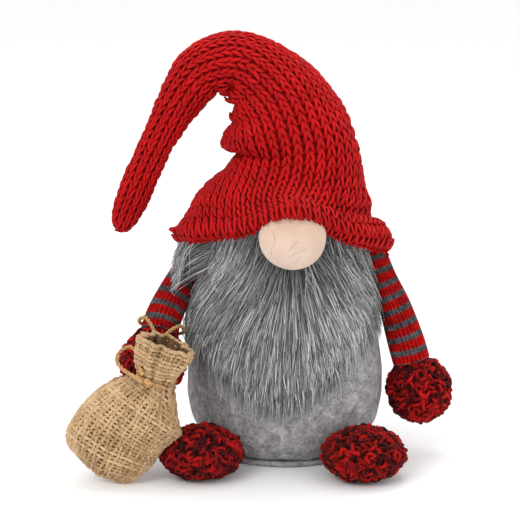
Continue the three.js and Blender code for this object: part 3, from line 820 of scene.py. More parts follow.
def gap_shade_material(name, scale, stops):
    """A sheet that shows in the gaps between stitches or threads, its colour painted shade."""
    material, shader = shader_of(name, 0.95)
    dyed(material, shader, mottle(material, scale, 3.0), stops)
    return material


# The knit's lining is painted shade: dark red for the gaps between the stitches of sleeves and hat.
LINING_SHADE_RED = gap_shade_material("yarn_shadow", 300.0, [(0.3, (112, 9, 11)), (0.7, (144, 14, 16))])


def sleeve_radius(share):
    t = np.clip(share / 0.9, 0, 1)
    return SLEEVE_TOP + (SLEEVE_CUFF - SLEEVE_TOP) * t * t * (3 - 2 * t)


def arm_path(side, length, forward, bow, elbow, flare):
    drop = math.sqrt(length ** 2 - forward ** 2) * 0.955
    points = []
    for share in (0, 0.28, 0.54, 0.8, 1):
        height = SHOULDER_HEIGHT - drop * share
        spread = bow * math.sin(share * math.pi * 0.6) + elbow * math.sin(share * math.pi)
        spread = spread + flare * share ** 3
        x = float(body_radius(height)) + SLEEVE_EASE + float(sleeve_radius(share)) + spread
        points.append((side * x, -forward * share ** 1.2, height))
    return points


arm_lines = {label: arm_path(*plan) for label, plan in SLEEVE_PLAN.items()}
arm_paths = {label: Path(points) for label, points in arm_lines.items()}
for label, path in arm_paths.items():
    rng = np.random.default_rng(21)
    arm_length = path.length
    side = SLEEVE_PLAN[label][0]
    top_x = abs(arm_lines[label][0][0])
    # The sleeve goes on up under the brim, past the shoulder.
    hidden = [(side * (top_x - inward * MM), 0, SHOULDER_HEIGHT + up * MM)
              for inward, up in ((9, 17), (3.5, 8))]
    path = Path(hidden + arm_lines[label])
    added = path.length - arm_length

    def radius_at(where, angle, arm_length=arm_length, added=added):
        lump = 0.35 * MM * np.sin(where / (9 * MM) + 2 * np.sin(angle))
        lump = lump + 0.3 * MM * np.sin(angle * 3 + where * 60)
        return sleeve_radius(np.maximum(where - added, 0) / arm_length) - 1.0 * MM + lump

    surface = tube_surface(path, radius_at, lambda where: np.ones_like(where))
    rows = int(path.length / ROW)
    for colour in ("red", "grey"):
        where, angle = [], []
        for row in range(-1, rows + 1):
            if (colour == "grey") != (row % 5 in (3, 4)):
                continue
            where.append(np.full(WALES, path.length - (row + 0.5) * ROW))
            angle.append(np.arange(WALES) * 2 * np.pi / WALES)
        where, angle = np.concatenate(where), np.concatenate(angle)
        where = np.clip(where, 1 * MM, path.length - 1 * MM)
        place, up, across, out = surface_grid(surface, where, angle)
        up, across = -up, -across
        width = 2 * np.pi * radius_at(where, angle) / WALES
        sizes = np.stack([width * 1.08, np.full(len(where), ROW * 1.1), width * 0.9], 1)
        knit = stamped(f"sleeve_{label}_{colour}", place, turns_of(across, up, out), sizes,
                       rng.normal(0.2, 0.09, len(where)), FINE_STITCH, SLEEVE_YARN[colour])
        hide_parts(f"sleeve_{label}")
        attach(knit, f"arm_{label}")
    # A sheet just inside the stitches, coloured with painted shade for the gaps between them.
    rings = []
    angle = all_round(32)
    for where_at in np.linspace(0.5 * MM, path.length - 0.5 * MM, 30):
        centre = path.at(where_at)
        rings.append(centre + (surface(where_at, angle) - centre) * LINING_SHARE)
    inner = skin(f"sleeve_{label}_lining", rings, LINING_SHADE_RED)
    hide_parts(f"sleeve_{label}", f"sleeve_stuffing_{label}")
    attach(inner, f"arm_{label}")


# ---------------------------------------------------------------- boucle mittens and feet
# Pads covered in boucle: a looped yarn of bright and dark red whose curls stand off the
# cloth. The mittens are gathered onto the cuffs, and the feet are sewn to the body's foot.

MITTEN_WIDTH, MITTEN_DEPTH, MITTEN_LENGTH = 49 * MM, 41 * MM, 52 * MM
FOOT_WIDTH, FOOT_HEIGHT, FOOT_LENGTH = 62 * MM, 39 * MM, 60 * MM
TOES_OUT = math.radians(22)
CURL = 3.1 * MM
MITTEN_CURLS, FOOT_CURLS = 560, 760
MITTEN_SEED = {"left": 31, "right": 32}


def boucle_material():
    material, shader = shader_of("red_boucle", 0.8, 0.05, (1.0, 0.5, 0.45))
    fibre = mottle(material, 800.0, 4.0, 0.7)
    dyed(material, shader, share_plus(material, fibre, 0.35, carried(material, "tint")),
         [(0.12, (34, 1, 3)), (0.4, (84, 3, 5)), (0.65, (132, 6, 7)), (1.0, (196, 18, 15))])
    bumped(material, shader, fibre, 0.8, 0.5 * MM)
    return material


BOUCLE = boucle_material()


def curl_template():
    """One curl: most of a ring of thick yarn, its ends turned down into the cloth."""
    rings, sides = 9, 5
    points = []
    for i in range(rings):
        t = i / (rings - 1)
        angle = -0.25 * math.pi + 1.5 * math.pi * t
        centre = np.array([math.cos(angle), 0.25 * math.sin(2 * angle), math.sin(angle) * 0.85])
        outward_way = unit(centre)
        girth = 0.46 * (0.75 + 0.25 * math.sin(math.pi * t))
        for j in range(sides):
            turn = 2 * math.pi * j / sides
            round_line = outward_way * math.cos(turn) + np.array([0, 1, 0]) * math.sin(turn)
            points.append(centre + girth * round_line)
    return template("curl", points, tube_faces(rings, sides))


CURL_SHAPE = curl_template()


def clear_of_body(points, margin):
    """Moves points that are inside the felt out to its surface and the margin."""
    points = points.copy()
    inside = body_radius(points[:, 2]) + margin
    reach = np.hypot(points[:, 0], points[:, 1] / BODY_DEPTH)
    push = np.maximum(inside / np.maximum(reach, 1e-6), 1)
    points[:, 0] *= push
    points[:, 1] *= push
    return points


def boucle_pad(node, centre, axes, radii, body, count, seed, floor=None, shade=0.0):
    """A filled pad of the given radii along three axes, with curls all over it."""
    rng = np.random.default_rng(seed)
    axes, radii = np.array(axes), np.array(radii)
    rings = []
    turn = all_round(44)
    for angle in np.linspace(0.08, np.pi - 0.08, 30):
        body_points = centre + (ball_points(angle, turn) * (radii - CURL * 1.15)) @ axes
        body_points += unit(body_points - centre) * (0.8 * MM * ripple(body_points, 5 * MM, seed))[:, None]
        body_points = clear_of_body(body_points, 0.8 * MM)
        if floor is not None:
            body_points[:, 2] = np.maximum(body_points[:, 2], floor + 0.5 * MM)
        rings.append(body_points)
    pad = skin(f"{node}_pad", rings, BOUCLE)
    # The pad shows between the curls; its darkest tint is painted shade under them.
    set_values(pad.data, "tint", "FLOAT", np.full(len(pad.data.vertices), 0.05))
    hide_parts(node, node.replace("_", "_stuffing_"))
    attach(pad, body)

    index = np.arange(count) + 0.5
    polar = np.arccos(1 - 2 * index / count)
    turn = np.pi * (1 + 5 ** 0.5) * index
    ways = ball_points(polar, turn)
    ways = unit(ways + rng.normal(0, 0.035, ways.shape))
    places = centre + (ways * (radii - CURL * 1.05)) @ axes
    outs = unit((ways / radii) @ axes)
    moved = clear_of_body(places, CURL * 1.3)
    fits = np.linalg.norm(moved - places, axis=1) < 1 * MM
    places, outs = places[fits], outs[fits]
    if floor is not None:
        places[:, 2] = np.maximum(places[:, 2], floor + CURL * 1.45)
    spin = unit(rng.normal(size=places.shape))
    across = unit(np.cross(outs, spin))
    tipped = unit(outs + rng.normal(0, 0.45, outs.shape))
    across = unit(across - tipped * (across * tipped).sum(1, keepdims=True))
    size = rng.uniform(0.62, 1.12, len(places))[:, None] * CURL
    size = size * rng.uniform(0.85, 1.1, (len(places), 3))
    # shade lowers every curl's tint: painted shade, used to darken the feet.
    tint = np.where(rng.uniform(0, 1, len(places)) < 0.33, rng.uniform(0, 0.22, len(places)),
                    rng.uniform(0.32, 0.72, len(places))) + shade
    curls = stamped(f"{node}_curls", places, turns_of(across, np.cross(tipped, across), tipped), size, tint,
                    CURL_SHAPE, BOUCLE)
    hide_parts(node)
    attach(curls, body)



def square_to(along):
    """Two directions square to a line, the first as near the gnome's back as it can be."""
    side = unit(np.array([0, 1.0, 0]) - along * along[1])
    return side, np.cross(along, side)


mitten_frames = {}
for label, path in arm_paths.items():
    wrist, along = path.at(path.length), path.along(path.length)
    hole = math.asin((SLEEVE_CUFF - 1 * MM) / (MITTEN_WIDTH / 2))
    rim = MITTEN_LENGTH * (1 - math.cos(hole)) / 2
    centre = wrist + along * (0.35 * MM - rim + MITTEN_LENGTH / 2)
    side, other = square_to(along)
    mitten_frames[label] = (centre, along)
    boucle_pad(f"mitten_{label}", centre, (other, side, along),
               (MITTEN_WIDTH / 2, MITTEN_DEPTH / 2, MITTEN_LENGTH / 2), f"arm_{label}", MITTEN_CURLS,
               MITTEN_SEED[label])

# The feet take painted shade: their curls are 0.07 darker than the mittens'.
for label, side, bearing, seed in (("right", -1, 42, 42), ("left", 1, 37.5, 41)):
    middle = FOOT_HEIGHT / 2
    turn = math.radians(bearing)
    out = float(body_radius(middle)) * 0.94 + FOOT_LENGTH / 2 - 1 * MM
    centre = np.array([side * math.sin(turn) * out, -math.cos(turn) * out, middle - 1 * MM])
    toe = np.array([side * math.sin(TOES_OUT), -math.cos(TOES_OUT), 0])
    up = np.array([0, 0, 1.0])
    across = np.cross(toe, up)
    boucle_pad(f"foot_{label}", centre, (across, up, toe), (FOOT_WIDTH / 2, FOOT_HEIGHT / 2, FOOT_LENGTH / 2),
               "body", FOOT_CURLS, seed, floor=0.0, shade=-0.07)


# ---------------------------------------------------------------- hat
# One seamed tube of chunky stocking stitch, wide and bunched at the brim, filled at the
# crown. Its tail folds over to the gnome's right, with creases inside the fold.

BRIM_RADIUS = 80.45 * MM
BRIM_HEIGHT = SHOULDER_HEIGHT + 5 * MM
BRIM_RISE, BRIM_DROP = 20 * MM, 10 * MM
CROWN_HEIGHT, TAIL_LENGTH = 135 * MM, 148 * MM
FOLD = joint_at["hat_fold"]
HAT_ROW = 6.6 * MM
COMPRESSED = 90 * MM
OUTER_LENGTH = 1.5  # how much longer the outside of the fold may be than the hat's middle line

crown_steps = [[0, 0], [-0.01, 0.096], [-0.02, 0.207], [0, 0.356], [0.033, 0.533], [0.007, 0.689],
               [-0.052, 0.83], [-0.141, 0.933], [-0.237, 0.993], [-0.326, 1]]
tail_steps = [[-0.122, -0.005, -0.047], [-0.228, -0.01, -0.182], [-0.316, -0.015, -0.345],
              [-0.396, -0.02, -0.514], [-0.468, -0.025, -0.682], [-0.524, -0.03, -0.82]]
hat_points = [(x * CROWN_HEIGHT, 0, BRIM_HEIGHT + z * CROWN_HEIGHT) for x, z in crown_steps]
hat_points += [tuple(FOLD + np.array(step) * TAIL_LENGTH) for step in tail_steps]
hat_path = Path(hat_points)
CROWN_LENGTH = float(hat_path.lengths[np.argmin(np.linalg.norm(hat_path.points - FOLD, axis=1))])
crown_radii = [[0, 1], [0.08, 0.99], [0.175, 0.83], [0.3, 0.71], [0.45, 0.565], [0.59, 0.54], [0.71, 0.47],
               [0.83, 0.355], [0.925, 0.285], [1, 0.26]]
tail_radii = [[0.13, 0.24], [0.3, 0.195], [0.48, 0.158], [0.67, 0.136], [0.85, 0.114], [0.94, 0.098],
              [0.985, 0.06], [1, 0.012]]
tail_span = hat_path.length - CROWN_LENGTH
radius_line = [(share * CROWN_LENGTH, r * BRIM_RADIUS) for share, r in crown_radii]
radius_line += [(CROWN_LENGTH + share * tail_span, r * BRIM_RADIUS) for share, r in tail_radii]
radius_line = through(radius_line, 8)

# Each crease and dent: its depth, place along the hat and spread along it in mm, the way it faces in
# half turns (0 is the back, 0.5 the inside of the fold), and its width round the hat in radians.
CREASES = [(-7, 72, 5, 0.58, 0.75), (6, 90, 11, 0.55, 0.8), (-4.5, 112, 6, 0.5, 0.8)]
for step, depth in ((-22, -4), (-12, 2.5), (0, -6.5), (11, 2), (20, -3.5)):
    CREASES.append((depth, CROWN_LENGTH / MM - 6 + step, 4.5, 0.5, 0.85))
DENTS = [(-12.5, 54, 24, 0.5, 0.9), (1.5, 18, 12, 0.5, 0.7), (5, 56, 20, 1.5, 1), (-3, 12, 12, 1.5, 0.8),
         (-3.8, 112, 26, 1.5, 1)]


def tail_swell(where):
    """How much the filling widens the tail near its tip."""
    return 2.5 * MM * np.exp(-((where - 285 * MM) / (26 * MM)) ** 2)


def spot(where, angle, place, spread, facing, width):
    """1 at a place along the hat and a direction round it, fading away from both."""
    turned = np.abs((angle - facing * np.pi + np.pi) % (2 * np.pi) - np.pi)
    return np.exp(-((where - place * MM) / (spread * MM)) ** 2 - (turned / width) ** 2)


def hat_radius(where, angle):
    radius = np.interp(where, radius_line[:, 0], radius_line[:, 1])
    for depth, *shape in CREASES:
        radius = radius + depth * MM * spot(where, angle, *shape)
    gathers = np.sin(angle * 7 + 1) + 0.7 * np.sin(angle * 11 + 3)
    radius = radius + 1.3 * MM * gathers * np.exp(-where / (30 * MM))
    radius = radius + 1.5 * MM * np.exp(-((where - 9 * MM) / (6 * MM)) ** 2)
    radius = radius - 5.5 * MM * np.exp(-(where / (5 * MM)) ** 2)
    lumpy = (where > 30 * MM) * (radius > 12 * MM)
    radius = radius + 0.8 * MM * np.sin(where / (17 * MM) + 2 * np.sin(angle)) * lumpy
    for depth, *shape in DENTS:
        radius = radius + depth * MM * spot(where, angle, *shape)
    radius = radius + tail_swell(where)
    radius = radius - 1.2 * MM * np.clip((where - CROWN_LENGTH) / (20 * MM), 0, 1)
    return np.maximum(radius, 0.5 * MM)


def hat_depth(where):
    return np.interp(where, [0, CROWN_LENGTH, CROWN_LENGTH + 40 * MM], [0.92, 1.12, 1.0])


bare_hat = tube_surface(hat_path, hat_radius, hat_depth)


def hat_surface(where, angle, inset=0.0):
    """The bare tube, its brim raised at the front and lifted out over the nose."""
    where, angle = np.broadcast_arrays(np.asarray(where, float), np.asarray(angle, float))
    held = np.clip(where, 0, hat_path.length)
    place = bare_hat(held, angle)
    if inset:
        place = place - inset * unit(place - hat_path.at(held))
    low = 0.5 + 0.5 * np.cos(np.pi * np.minimum(held / CROWN_LENGTH / 0.42, 1))
    reach = np.maximum(np.hypot(place[..., 0], place[..., 1]), 1e-6)
    front, tilt = -place[..., 1] / reach, place[..., 0] / reach
    rise = np.where(front > 0, BRIM_RISE, BRIM_DROP)
    on_nose = np.exp(-0.5 * ((place[..., 0] - NOSE[0]) / (NOSE_RADIUS * 0.75)) ** 2) * (front > 0)
    outward_by = max(-NOSE[1] + NOSE_RADIUS * 0.88 - BRIM_RADIUS * 0.92, 0)
    upward = NOSE[2] + NOSE_RADIUS * 0.66 - BRIM_HEIGHT - BRIM_RISE
    place = place.copy()
    lift = rise * front - 9 * MM * tilt - 4.5 * MM * np.maximum(tilt, 0) ** 2 + on_nose * upward
    place[..., 2] += low * lift
    place[..., 1] -= low * on_nose * outward_by
    # The edge rolls under.
    rolled = np.minimum(where, 0)
    place[..., 0] += rolled * place[..., 0] / reach
    place[..., 1] += rolled * place[..., 1] / reach
    place[..., 2] -= rolled * 0.25
    return place


RED_YARN = yarn_material("hat_red_yarn", [(0.0, (148, 8, 10)), (0.4, (190, 14, 17)), (0.7, (206, 22, 22)),
                                          (1.0, (228, 60, 52))], 7, 0.7)
BIG_STITCH = stitch_template("hat_stitch", 6, 6, 0.175)


def wale_width(where):
    """How wide a stitch is: drawn in at the brim, stretched over the crown, small at the tip."""
    marks = np.array([0, 30, 80, 150, 190, 250, 310]) * MM
    return np.interp(where, marks, np.array([6.9, 7.4, 8.5, 8.2, 7.4, 6.8, 5.6]) * MM)


rng = np.random.default_rng(61)
dense = np.linspace(0, hat_path.length, 700)
bare = np.interp(dense, radius_line[:, 0], radius_line[:, 1]) + tail_swell(dense)
girth = np.pi * bare * (1 + hat_depth(dense)) / 2
rows_low = int(COMPRESSED / HAT_ROW)
row_total = rows_low + int((hat_path.length - COMPRESSED) * OUTER_LENGTH / HAT_ROW)
stitches = {"where": [], "angle": [], "height": [], "width": [], "up": []}
for middle_of in (np.pi, 0.0):
    for wale in range(-24, 25):
        # The wale's own line, at a set distance round the hat from the middle of its panel.
        turned = (wale + 0.5 * (middle_of == 0)) * wale_width(dense) / girth * np.pi
        alive = np.abs(turned) < np.pi / 2 + 0.04
        angle = middle_of + turned
        points = hat_surface(dense, angle)
        lengths = lengths_along(points)
        bunched = float(np.interp(COMPRESSED, dense, lengths))
        bend = float(np.clip(HAT_ROW * rows_low / bunched - 1, 0, 0.5))
        for row in range(-1, row_total):
            share = (row + 0.5) / rows_low
            if row < 0:
                at = -0.35 * HAT_ROW
                tall = HAT_ROW * 0.75
            elif share <= 1:
                at = bunched * (bend * share ** 2 + (1 - bend) * share)
                tall = bunched / rows_low * (2 * bend * share + 1 - bend)
            else:
                at = bunched + (row + 0.5 - rows_low) * HAT_ROW
                tall = HAT_ROW
            if at > lengths[-1]:
                break
            where = float(np.interp(at, lengths, dense)) if at > 0 else at
            if not np.interp(where, dense, alive.astype(float)) > 0.5:
                continue
            stitches["where"].append(where)
            stitches["angle"].append(float(np.interp(where, dense, angle)))
            stitches["height"].append(tall)
            stitches["width"].append(float(wale_width(where)))
            reach = max(where, 0) + np.array([-1, 1]) * 1.5 * MM
            ends = hat_surface(reach, np.interp(reach, dense, angle))
            stitches["up"].append(ends[1] - ends[0])
where, angle, tall, wide = (np.array(stitches[k]) for k in ("where", "angle", "height", "width"))
place, row_up, across, out = surface_grid(hat_surface, where, angle)
centre_line = hat_path.at(np.maximum(where, 0))
out = out * np.where(((place - centre_line) * out).sum(1) < 0, -1.0, 1.0)[:, None]
# A wale leans as its distance from the front changes, so a stitch points along its own wale.
up = np.array(stitches["up"])
up = np.where((where < 0)[:, None], row_up, up)
up = unit(up - out * (up * out).sum(1, keepdims=True))
across = np.cross(up, out)
tall = np.clip(tall, 3.4 * MM, 7.4 * MM)
sizes = np.stack([wide * 1.06, tall * 1.12, np.minimum(wide, tall * 1.3) * 0.8], 1)
place = place + rng.normal(0, 0.22 * MM, place.shape)
tints = rng.normal(0.2, 0.055, len(where)) + 0.08 * ripple(place, 30 * MM)
BEND_FROM = CROWN_LENGTH - 40 * MM


def worn(piece, bends, nodes=("hat_crown", "hat_tail")):
    """Hides the model's hat parts. The crown stays with the body; the bend and the tail are kept where they are,
    their places baked in.
    """
    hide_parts(*nodes)
    if bends:
        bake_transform(piece)
    else:
        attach(piece, "body")


for name, chosen in (("hat_knit_crown", where < BEND_FROM), ("hat_knit_tail", where >= BEND_FROM)):
    knit = stamped(name, place[chosen], turns_of(across[chosen], up[chosen], out[chosen]), sizes[chosen],
                   tints[chosen], BIG_STITCH, RED_YARN)
    worn(knit, name == "hat_knit_tail")

around = all_round(96)


def walled(piece, thickness):
    """Gives an open skin a wall, laid on inside it."""
    wall = piece.modifiers.new("wall", "SOLIDIFY")
    wall.thickness = thickness
    wall.offset = -1
    applied(piece, wall)
    piece.data.shade_smooth()


def hat_ring(where_at, inset, count=96):
    """A ring inside the hat, no deeper than six tenths of its radius there."""
    held = min(inset, 0.6 * float(hat_radius(where_at, 0.0)))
    return hat_surface(where_at, around[::96 // count], held)


# Sheets just inside the stitches, coloured with painted shade for the gaps between them.
for name, first, last in (("hat_lining_crown", 0.0, BEND_FROM + 1 * MM),
                          ("hat_lining_tail", BEND_FROM - 1 * MM, hat_path.length - 1 * MM)):
    steps = np.linspace(first, last, int((last - first) / (2.1 * MM)))
    lining = skin(name, [hat_ring(where_at, 1.5 * MM) for where_at in steps], LINING_SHADE_RED, close=False)
    walled(lining, 1.2 * MM)
    worn(lining, name == "hat_lining_tail")


# ---------------------------------------------------------------- burlap sack
# A little bag of coarse plain-woven jute, sewn up its sides and bottom, filled and tied
# below its open mouth, so that the cloth pleats at the neck and flares above it.

SACK_LENGTH, SACK_WIDTH, SACK_DEPTH = 76 * MM, 64 * MM, 36 * MM
MOUTH_LENGTH, NECK_RADIUS = 32 * MM, 10 * MM
THREAD = 3.0 * MM
SACK_FALL = TIE[2] - SACK_WIDTH * 0.11
SACK_LEAN = math.sqrt(SACK_LENGTH ** 2 - SACK_FALL ** 2)
sack_points = [TIE + [MOUTH_LENGTH * 0.3, -2 * MM, MOUTH_LENGTH * 0.95],
               TIE + [MOUTH_LENGTH * 0.12, -1 * MM, MOUTH_LENGTH * 0.45]]
for out_by, down in ((0, 0), (0.28, 0.21), (0.62, 0.5), (0.86, 0.77), (1, 1)):
    sack_points.append(TIE + [-SACK_LEAN * 0.97 * out_by, -SACK_LEAN * 0.25 * out_by, -SACK_FALL * down])
sack_path = Path(sack_points)
NECK = MOUTH_LENGTH / sack_path.length


def bag_share(share):
    return NECK + (1 - NECK) * share


half = SACK_WIDTH / 2
sack_outline = through([
    [0, NECK_RADIUS * 1.62], [NECK * 0.5, NECK_RADIUS * 1.45], [NECK, NECK_RADIUS],
    [bag_share(0.22), half * 0.78], [bag_share(0.45), half * 0.98], [bag_share(0.7), half * 1.02],
    [bag_share(0.92), half * 0.96], [bag_share(0.975), half * 0.86], [1, half * 0.78]], 8)


def sack_radius(where, angle):
    share = where / sack_path.length
    radius = np.interp(share, sack_outline[:, 0], sack_outline[:, 1])
    near = np.exp(-((share - NECK - 0.03) / 0.17) ** 2)
    above = np.clip(1 - share / NECK, 0, 1)
    pleats = np.sin(angle * 9 + 0.6) + 0.5 * np.sin(angle * 14 + 2.1)
    radius = radius + (0.9 * near * (share > NECK) + 1.1 * near + 2.2 * above) * MM * pleats
    radius = radius + 2.6 * MM * above * np.sin(angle * 3 + 1.2)
    inner_side = np.clip(np.sin(angle), 0, 1) ** 1.3
    radius = radius + 13 * MM * inner_side * np.exp(-((share - NECK - 0.13) / 0.15) ** 2)
    radius = radius + 4.5 * MM * inner_side * above
    outer_side = np.clip(-np.sin(angle), 0, 1) ** 2
    radius = radius - 4 * MM * outer_side * np.exp(-((share - NECK - 0.22) / 0.2) ** 2)
    radius = radius - 7 * MM * outer_side * np.clip((share - 0.85) / 0.15, 0, 1)
    radius = radius - 5 * MM * inner_side * np.clip((share - 0.8) / 0.2, 0, 1)
    lumps = np.sin(angle * 2 + share * 9) + 0.7 * np.sin(angle * 3 - share * 14 + 1)
    return radius + 0.9 * MM * lumps * np.clip((share - NECK) * 4, 0, 1)


def sack_depth(where):
    down = (where / sack_path.length - NECK) / (1 - NECK)
    full = SACK_DEPTH / SACK_WIDTH
    t = np.clip(down / 0.3, 0, 1)
    upper = 0.9 + (full - 0.9) * t * t * (3 - 2 * t)
    # The bottom is a flat seam.
    lower = full * (1 - 0.94 * (np.clip(down - 0.5, 0, 0.5) / 0.5) ** 3.2)
    return np.where(down < 0.5, upper, lower)


bare_sack = tube_surface(sack_path, sack_radius, sack_depth)


def sack_surface(where, angle, off=0.0):
    # The bottom seam runs aslant: the sack's outer side is the shorter.
    shorter = np.clip(-np.sin(angle), 0, 1) * np.clip((where / sack_path.length - 0.6) / 0.4, 0, 1)
    place = bare_sack(where, angle) - sack_path.along(where) * (9 * MM * shorter)[..., None]
    if np.any(off):
        out = surface_grid(bare_sack, where, angle)[3]
        away = np.sign(((place - sack_path.at(where)) * out).sum(-1))[..., None]
        place = place + out * away * np.asarray(off)[..., None]
    place[..., 2] = np.maximum(place[..., 2], 1.0 * MM)
    return place


BURLAP = jute_material("burlap", [(0.1, (112, 82, 52)), (0.4, (190, 158, 120)), (0.7, (216, 188, 150)),
                                  (1.0, (238, 214, 180))], 700)
# Under the weave lies a sheet of painted shade, for the gaps between the threads.
BURLAP_GAP_SHADE = gap_shade_material("burlap_gap_shade", 260.0, [(0.3, (78, 55, 35)), (0.7, (124, 95, 64))])

rng = np.random.default_rng(71)
WARP = 56
WEAVE = 0.5 * MM
LOOSE_FIBRES = 46
weft_count = int(sack_path.length / THREAD * 1.05)
weft_at = np.linspace(1.0 * MM, sack_path.length - 0.6 * MM, weft_count)
warp_turn = np.arange(WARP) * 2 * np.pi / WARP
runs, thick, tint = [], [], []
for i, turn in enumerate(warp_turn):
    where = np.linspace(0.2 * MM, sack_path.length - 0.4 * MM, weft_count * 3)
    phase = (where - weft_at[0]) / (weft_at[1] - weft_at[0])
    weave = WEAVE * np.cos(np.pi * (phase + i))
    wander = 0.02 * np.sin(where * 300 + i * 2.3)
    runs.append(sack_surface(where, turn + wander, weave))
    crowd = np.clip(sack_radius(where, turn) / (24 * MM), 0.45, 1)
    thick.append(crowd * (1 + 0.12 * np.sin(where * 700 + i)) * rng.uniform(0.85, 1.15))
    tint.append(np.full(len(where), rng.normal(0, 0.3)))
for j, where_at in enumerate(weft_at):
    turn = np.linspace(0, 2 * np.pi, WARP * 3 + 1)
    weave = -WEAVE * np.cos(np.pi * (turn / (2 * np.pi) * WARP + j))
    slant = 0.5 * MM * np.sin(turn * 2 + j * 0.4)
    where = np.clip(where_at + slant, 0.2 * MM, sack_path.length - 0.2 * MM)
    runs.append(sack_surface(where, turn, weave))
    thick.append((1 + 0.12 * np.sin(turn * 11 + j)) * rng.uniform(0.85, 1.15) * np.ones(len(turn)))
    tint.append(np.full(len(turn), rng.normal(0, 0.3)))
for _ in range(LOOSE_FIBRES):
    turn, where_at = rng.uniform(0, 2 * np.pi), rng.uniform(0, 1) * sack_path.length
    t = np.linspace(0, 1, 5)
    start = sack_surface(np.array([where_at]), np.array([turn]))[0]
    away = unit(rng.normal(size=3)) * rng.uniform(2, 5) * MM
    curve = start + t[:, None] * away + (t ** 2)[:, None] * rng.normal(0, 1.2, 3) * MM
    curve[:, 2] = np.maximum(curve[:, 2], 1 * MM)
    runs.append(curve)
    thick.append(np.linspace(0.2, 0.08, 5))
    tint.append(np.full(5, 0.5))
sack_cloth = strands("sack_burlap", runs, 1.27 * MM, 5, BURLAP, thick, tint=tint)
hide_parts("sack_cloth")
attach(sack_cloth, "sack")

# A sheet just inside the threads, coloured with painted shade for the gaps between them.
sack_rings = []
for where_at in np.linspace(1.0 * MM, sack_path.length - 1.0 * MM, 72):
    sack_rings.append(sack_surface(where_at, around, -0.7 * MM))
sack_shade_sheet = skin("sack_inner_cloth", sack_rings, BURLAP_GAP_SHADE, close=False)
walled(sack_shade_sheet, 0.8 * MM)
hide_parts("sack_cloth", "sack_stuffing")
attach(sack_shade_sheet, "sack")


# ---------------------------------------------------------------- tie and wrist loop
# The same twine: two turns drawn tight round the sack's neck and knotted in front, and a
# loop over the wrist whose ends come down the front of the mitten to the neck.

neck_at = NECK * sack_path.length
along = sack_path.along(neck_at)
side, other = square_to(along)
spread = NECK_RADIUS + TWINE * 0.62
coil = []
for turn in np.linspace(0, 4 * np.pi, 40):
    coil.append(TIE + other * spread * math.sin(turn) + side * 0.9 * spread * math.cos(turn)
                + along * (turn / (2 * np.pi) - 1) * TWINE * 0.95)
sack_tie = laid_twine("jute_tie", Path(coil, 4), 20, 81)
knot_centre = TIE + np.array([-3, -12, 3]) * MM
knot_route = []
for turn in np.linspace(0, 5 * np.pi, 26):
    lean = turn * 0.37
    knot_route.append(knot_centre + TWINE * 0.72 * np.array([
        math.cos(turn) * math.cos(lean), -0.35 + 0.8 * math.sin(turn) * math.cos(lean) * 0.9,
        math.sin(lean) * 1.1]))
knot = laid_twine("jute_knot", Path(knot_route, 4), 8, 82)
for piece in (sack_tie, knot):
    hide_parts("sack_tie")
    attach(piece, "sack")

centre, down = mitten_frames["right"]
start = centre - down * MITTEN_LENGTH / 2
front = unit(np.array([0, -1.0, 0]) + down * down[1])
beside = np.cross(down, front)
holding = arm_paths["right"]
middle = holding.at(holding.length * 0.92)
over = SLEEVE_CUFF + TWINE / 2 + 1.4 * MM
proud = MITTEN_DEPTH / 2 + TWINE / 2 + 1.75 * MM


def loop_end(way):
    ends = []
    for degrees in (46, 60, 76):
        turn = math.radians(degrees)
        on_mitten = start + down * MITTEN_LENGTH * (1 - math.cos(turn)) / 2
        ends.append(on_mitten + front * proud * math.sin(turn) + beside * way * 5 * MM)
    return ends


loop_route = loop_end(1)[::-1]
for degrees in range(50, 311, 26):
    turn = math.radians(degrees)
    loop_route.append(middle + front * over * math.cos(turn) + beside * over * math.sin(turn))
loop_route += loop_end(-1)
wrist_loop = laid_twine("jute_wrist_loop", Path(loop_route, 8), 24, 83)
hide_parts("wrist_loop")
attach(wrist_loop, "arm_right")


# ---------------------------------------------------------------- inner parts
# What the covers hold: loose fibre filling, a card disc that keeps the base flat, a calico
# bag of pellets that gives it weight, and the fur's own backing cloth.


def inner_material(name, dark, light, scale, rough):
    material, shader = shader_of(name, rough)
    uneven = mottle(material, scale, 5.0, 0.7)
    dyed(material, shader, uneven, [(0.3, dark), (0.7, light)])
    bumped(material, shader, uneven, 0.6, 1 * MM)
    return material


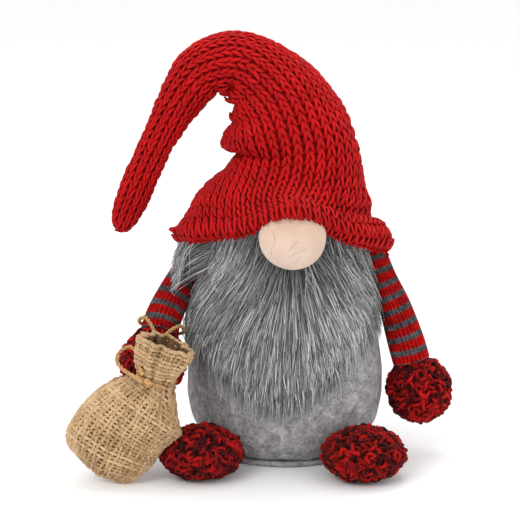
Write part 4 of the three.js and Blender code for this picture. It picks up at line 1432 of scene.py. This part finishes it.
FINISHES = {
    "stuffing": inner_material("loose_filling", (214, 212, 206), (246, 245, 240), 160, 0.95),
    "card": inner_material("card", (138, 116, 86), (176, 152, 118), 320, 0.8),
    "calico": inner_material("calico", (190, 182, 164), (226, 220, 204), 700, 0.9),
    "fur_backing": inner_material("fur_backing", (34, 34, 35), (66, 66, 67), 420, 0.95),
}
for part in frame["record"]["subparts"]:
    finish = FINISHES.get(part["material_slot"])
    if finish:
        mesh = frame["nodes"][part["node"]].data
        mesh.materials.clear()
        mesh.materials.append(finish)
for name, first, last, nodes in (
        ("hat_crown_filling", CROWN_LENGTH * 0.5, BEND_FROM - 1 * MM, ("hat_crown_stuffing",)),
        ("hat_tail_filling", BEND_FROM + 1 * MM, hat_path.length - 8 * MM,
         ("hat_crown_stuffing", "hat_tail_stuffing"))):
    rings = [hat_ring(where_at, 4.5 * MM, 48) for where_at in np.linspace(first, last, 30)]
    filling = skin(name, rings, FINISHES["stuffing"])
    worn(filling, name == "hat_tail_filling", nodes)


# ---------------------------------------------------------------- floor and light
# A pale floor and large soft lights all round, as in a white studio.

floor = shown("floor", plain_mesh("floor", [(-4, -4, 0), (4, -4, 0), (4, 4, 0), (-4, 4, 0)], [(0, 1, 2, 3)]))
floor_material, floor_shader = shader_of("pale_floor", 0.9)
floor_shader.inputs["Base Color"].default_value = (0.86, 0.86, 0.86, 1)
floor.data.materials.append(floor_material)

world = bpy.data.worlds.new("studio")
world.use_nodes = True
world.node_tree.nodes["Background"].inputs["Color"].default_value = (1, 1, 1, 1)
world.node_tree.nodes["Background"].inputs["Strength"].default_value = 1.12
scene.world = world
for name, place, size, power in (("key", (-0.9, -1.5, 1.5), 0.9, 14), ("fill", (1.3, -1.2, 0.9), 1.2, 4),
                                 ("top", (0.1, 0.4, 1.7), 1.0, 8)):
    lamp = bpy.data.objects.new(name, bpy.data.lights.new(name, "AREA"))
    scene.collection.objects.link(lamp)
    lamp.data.size = size
    lamp.data.energy = power
    lamp.location = place
    lamp.rotation_euler = (Vector((0, 0, 0.14)) - Vector(place)).to_track_quat("-Z", "Y").to_euler()
scene.view_settings.view_transform = "Standard"
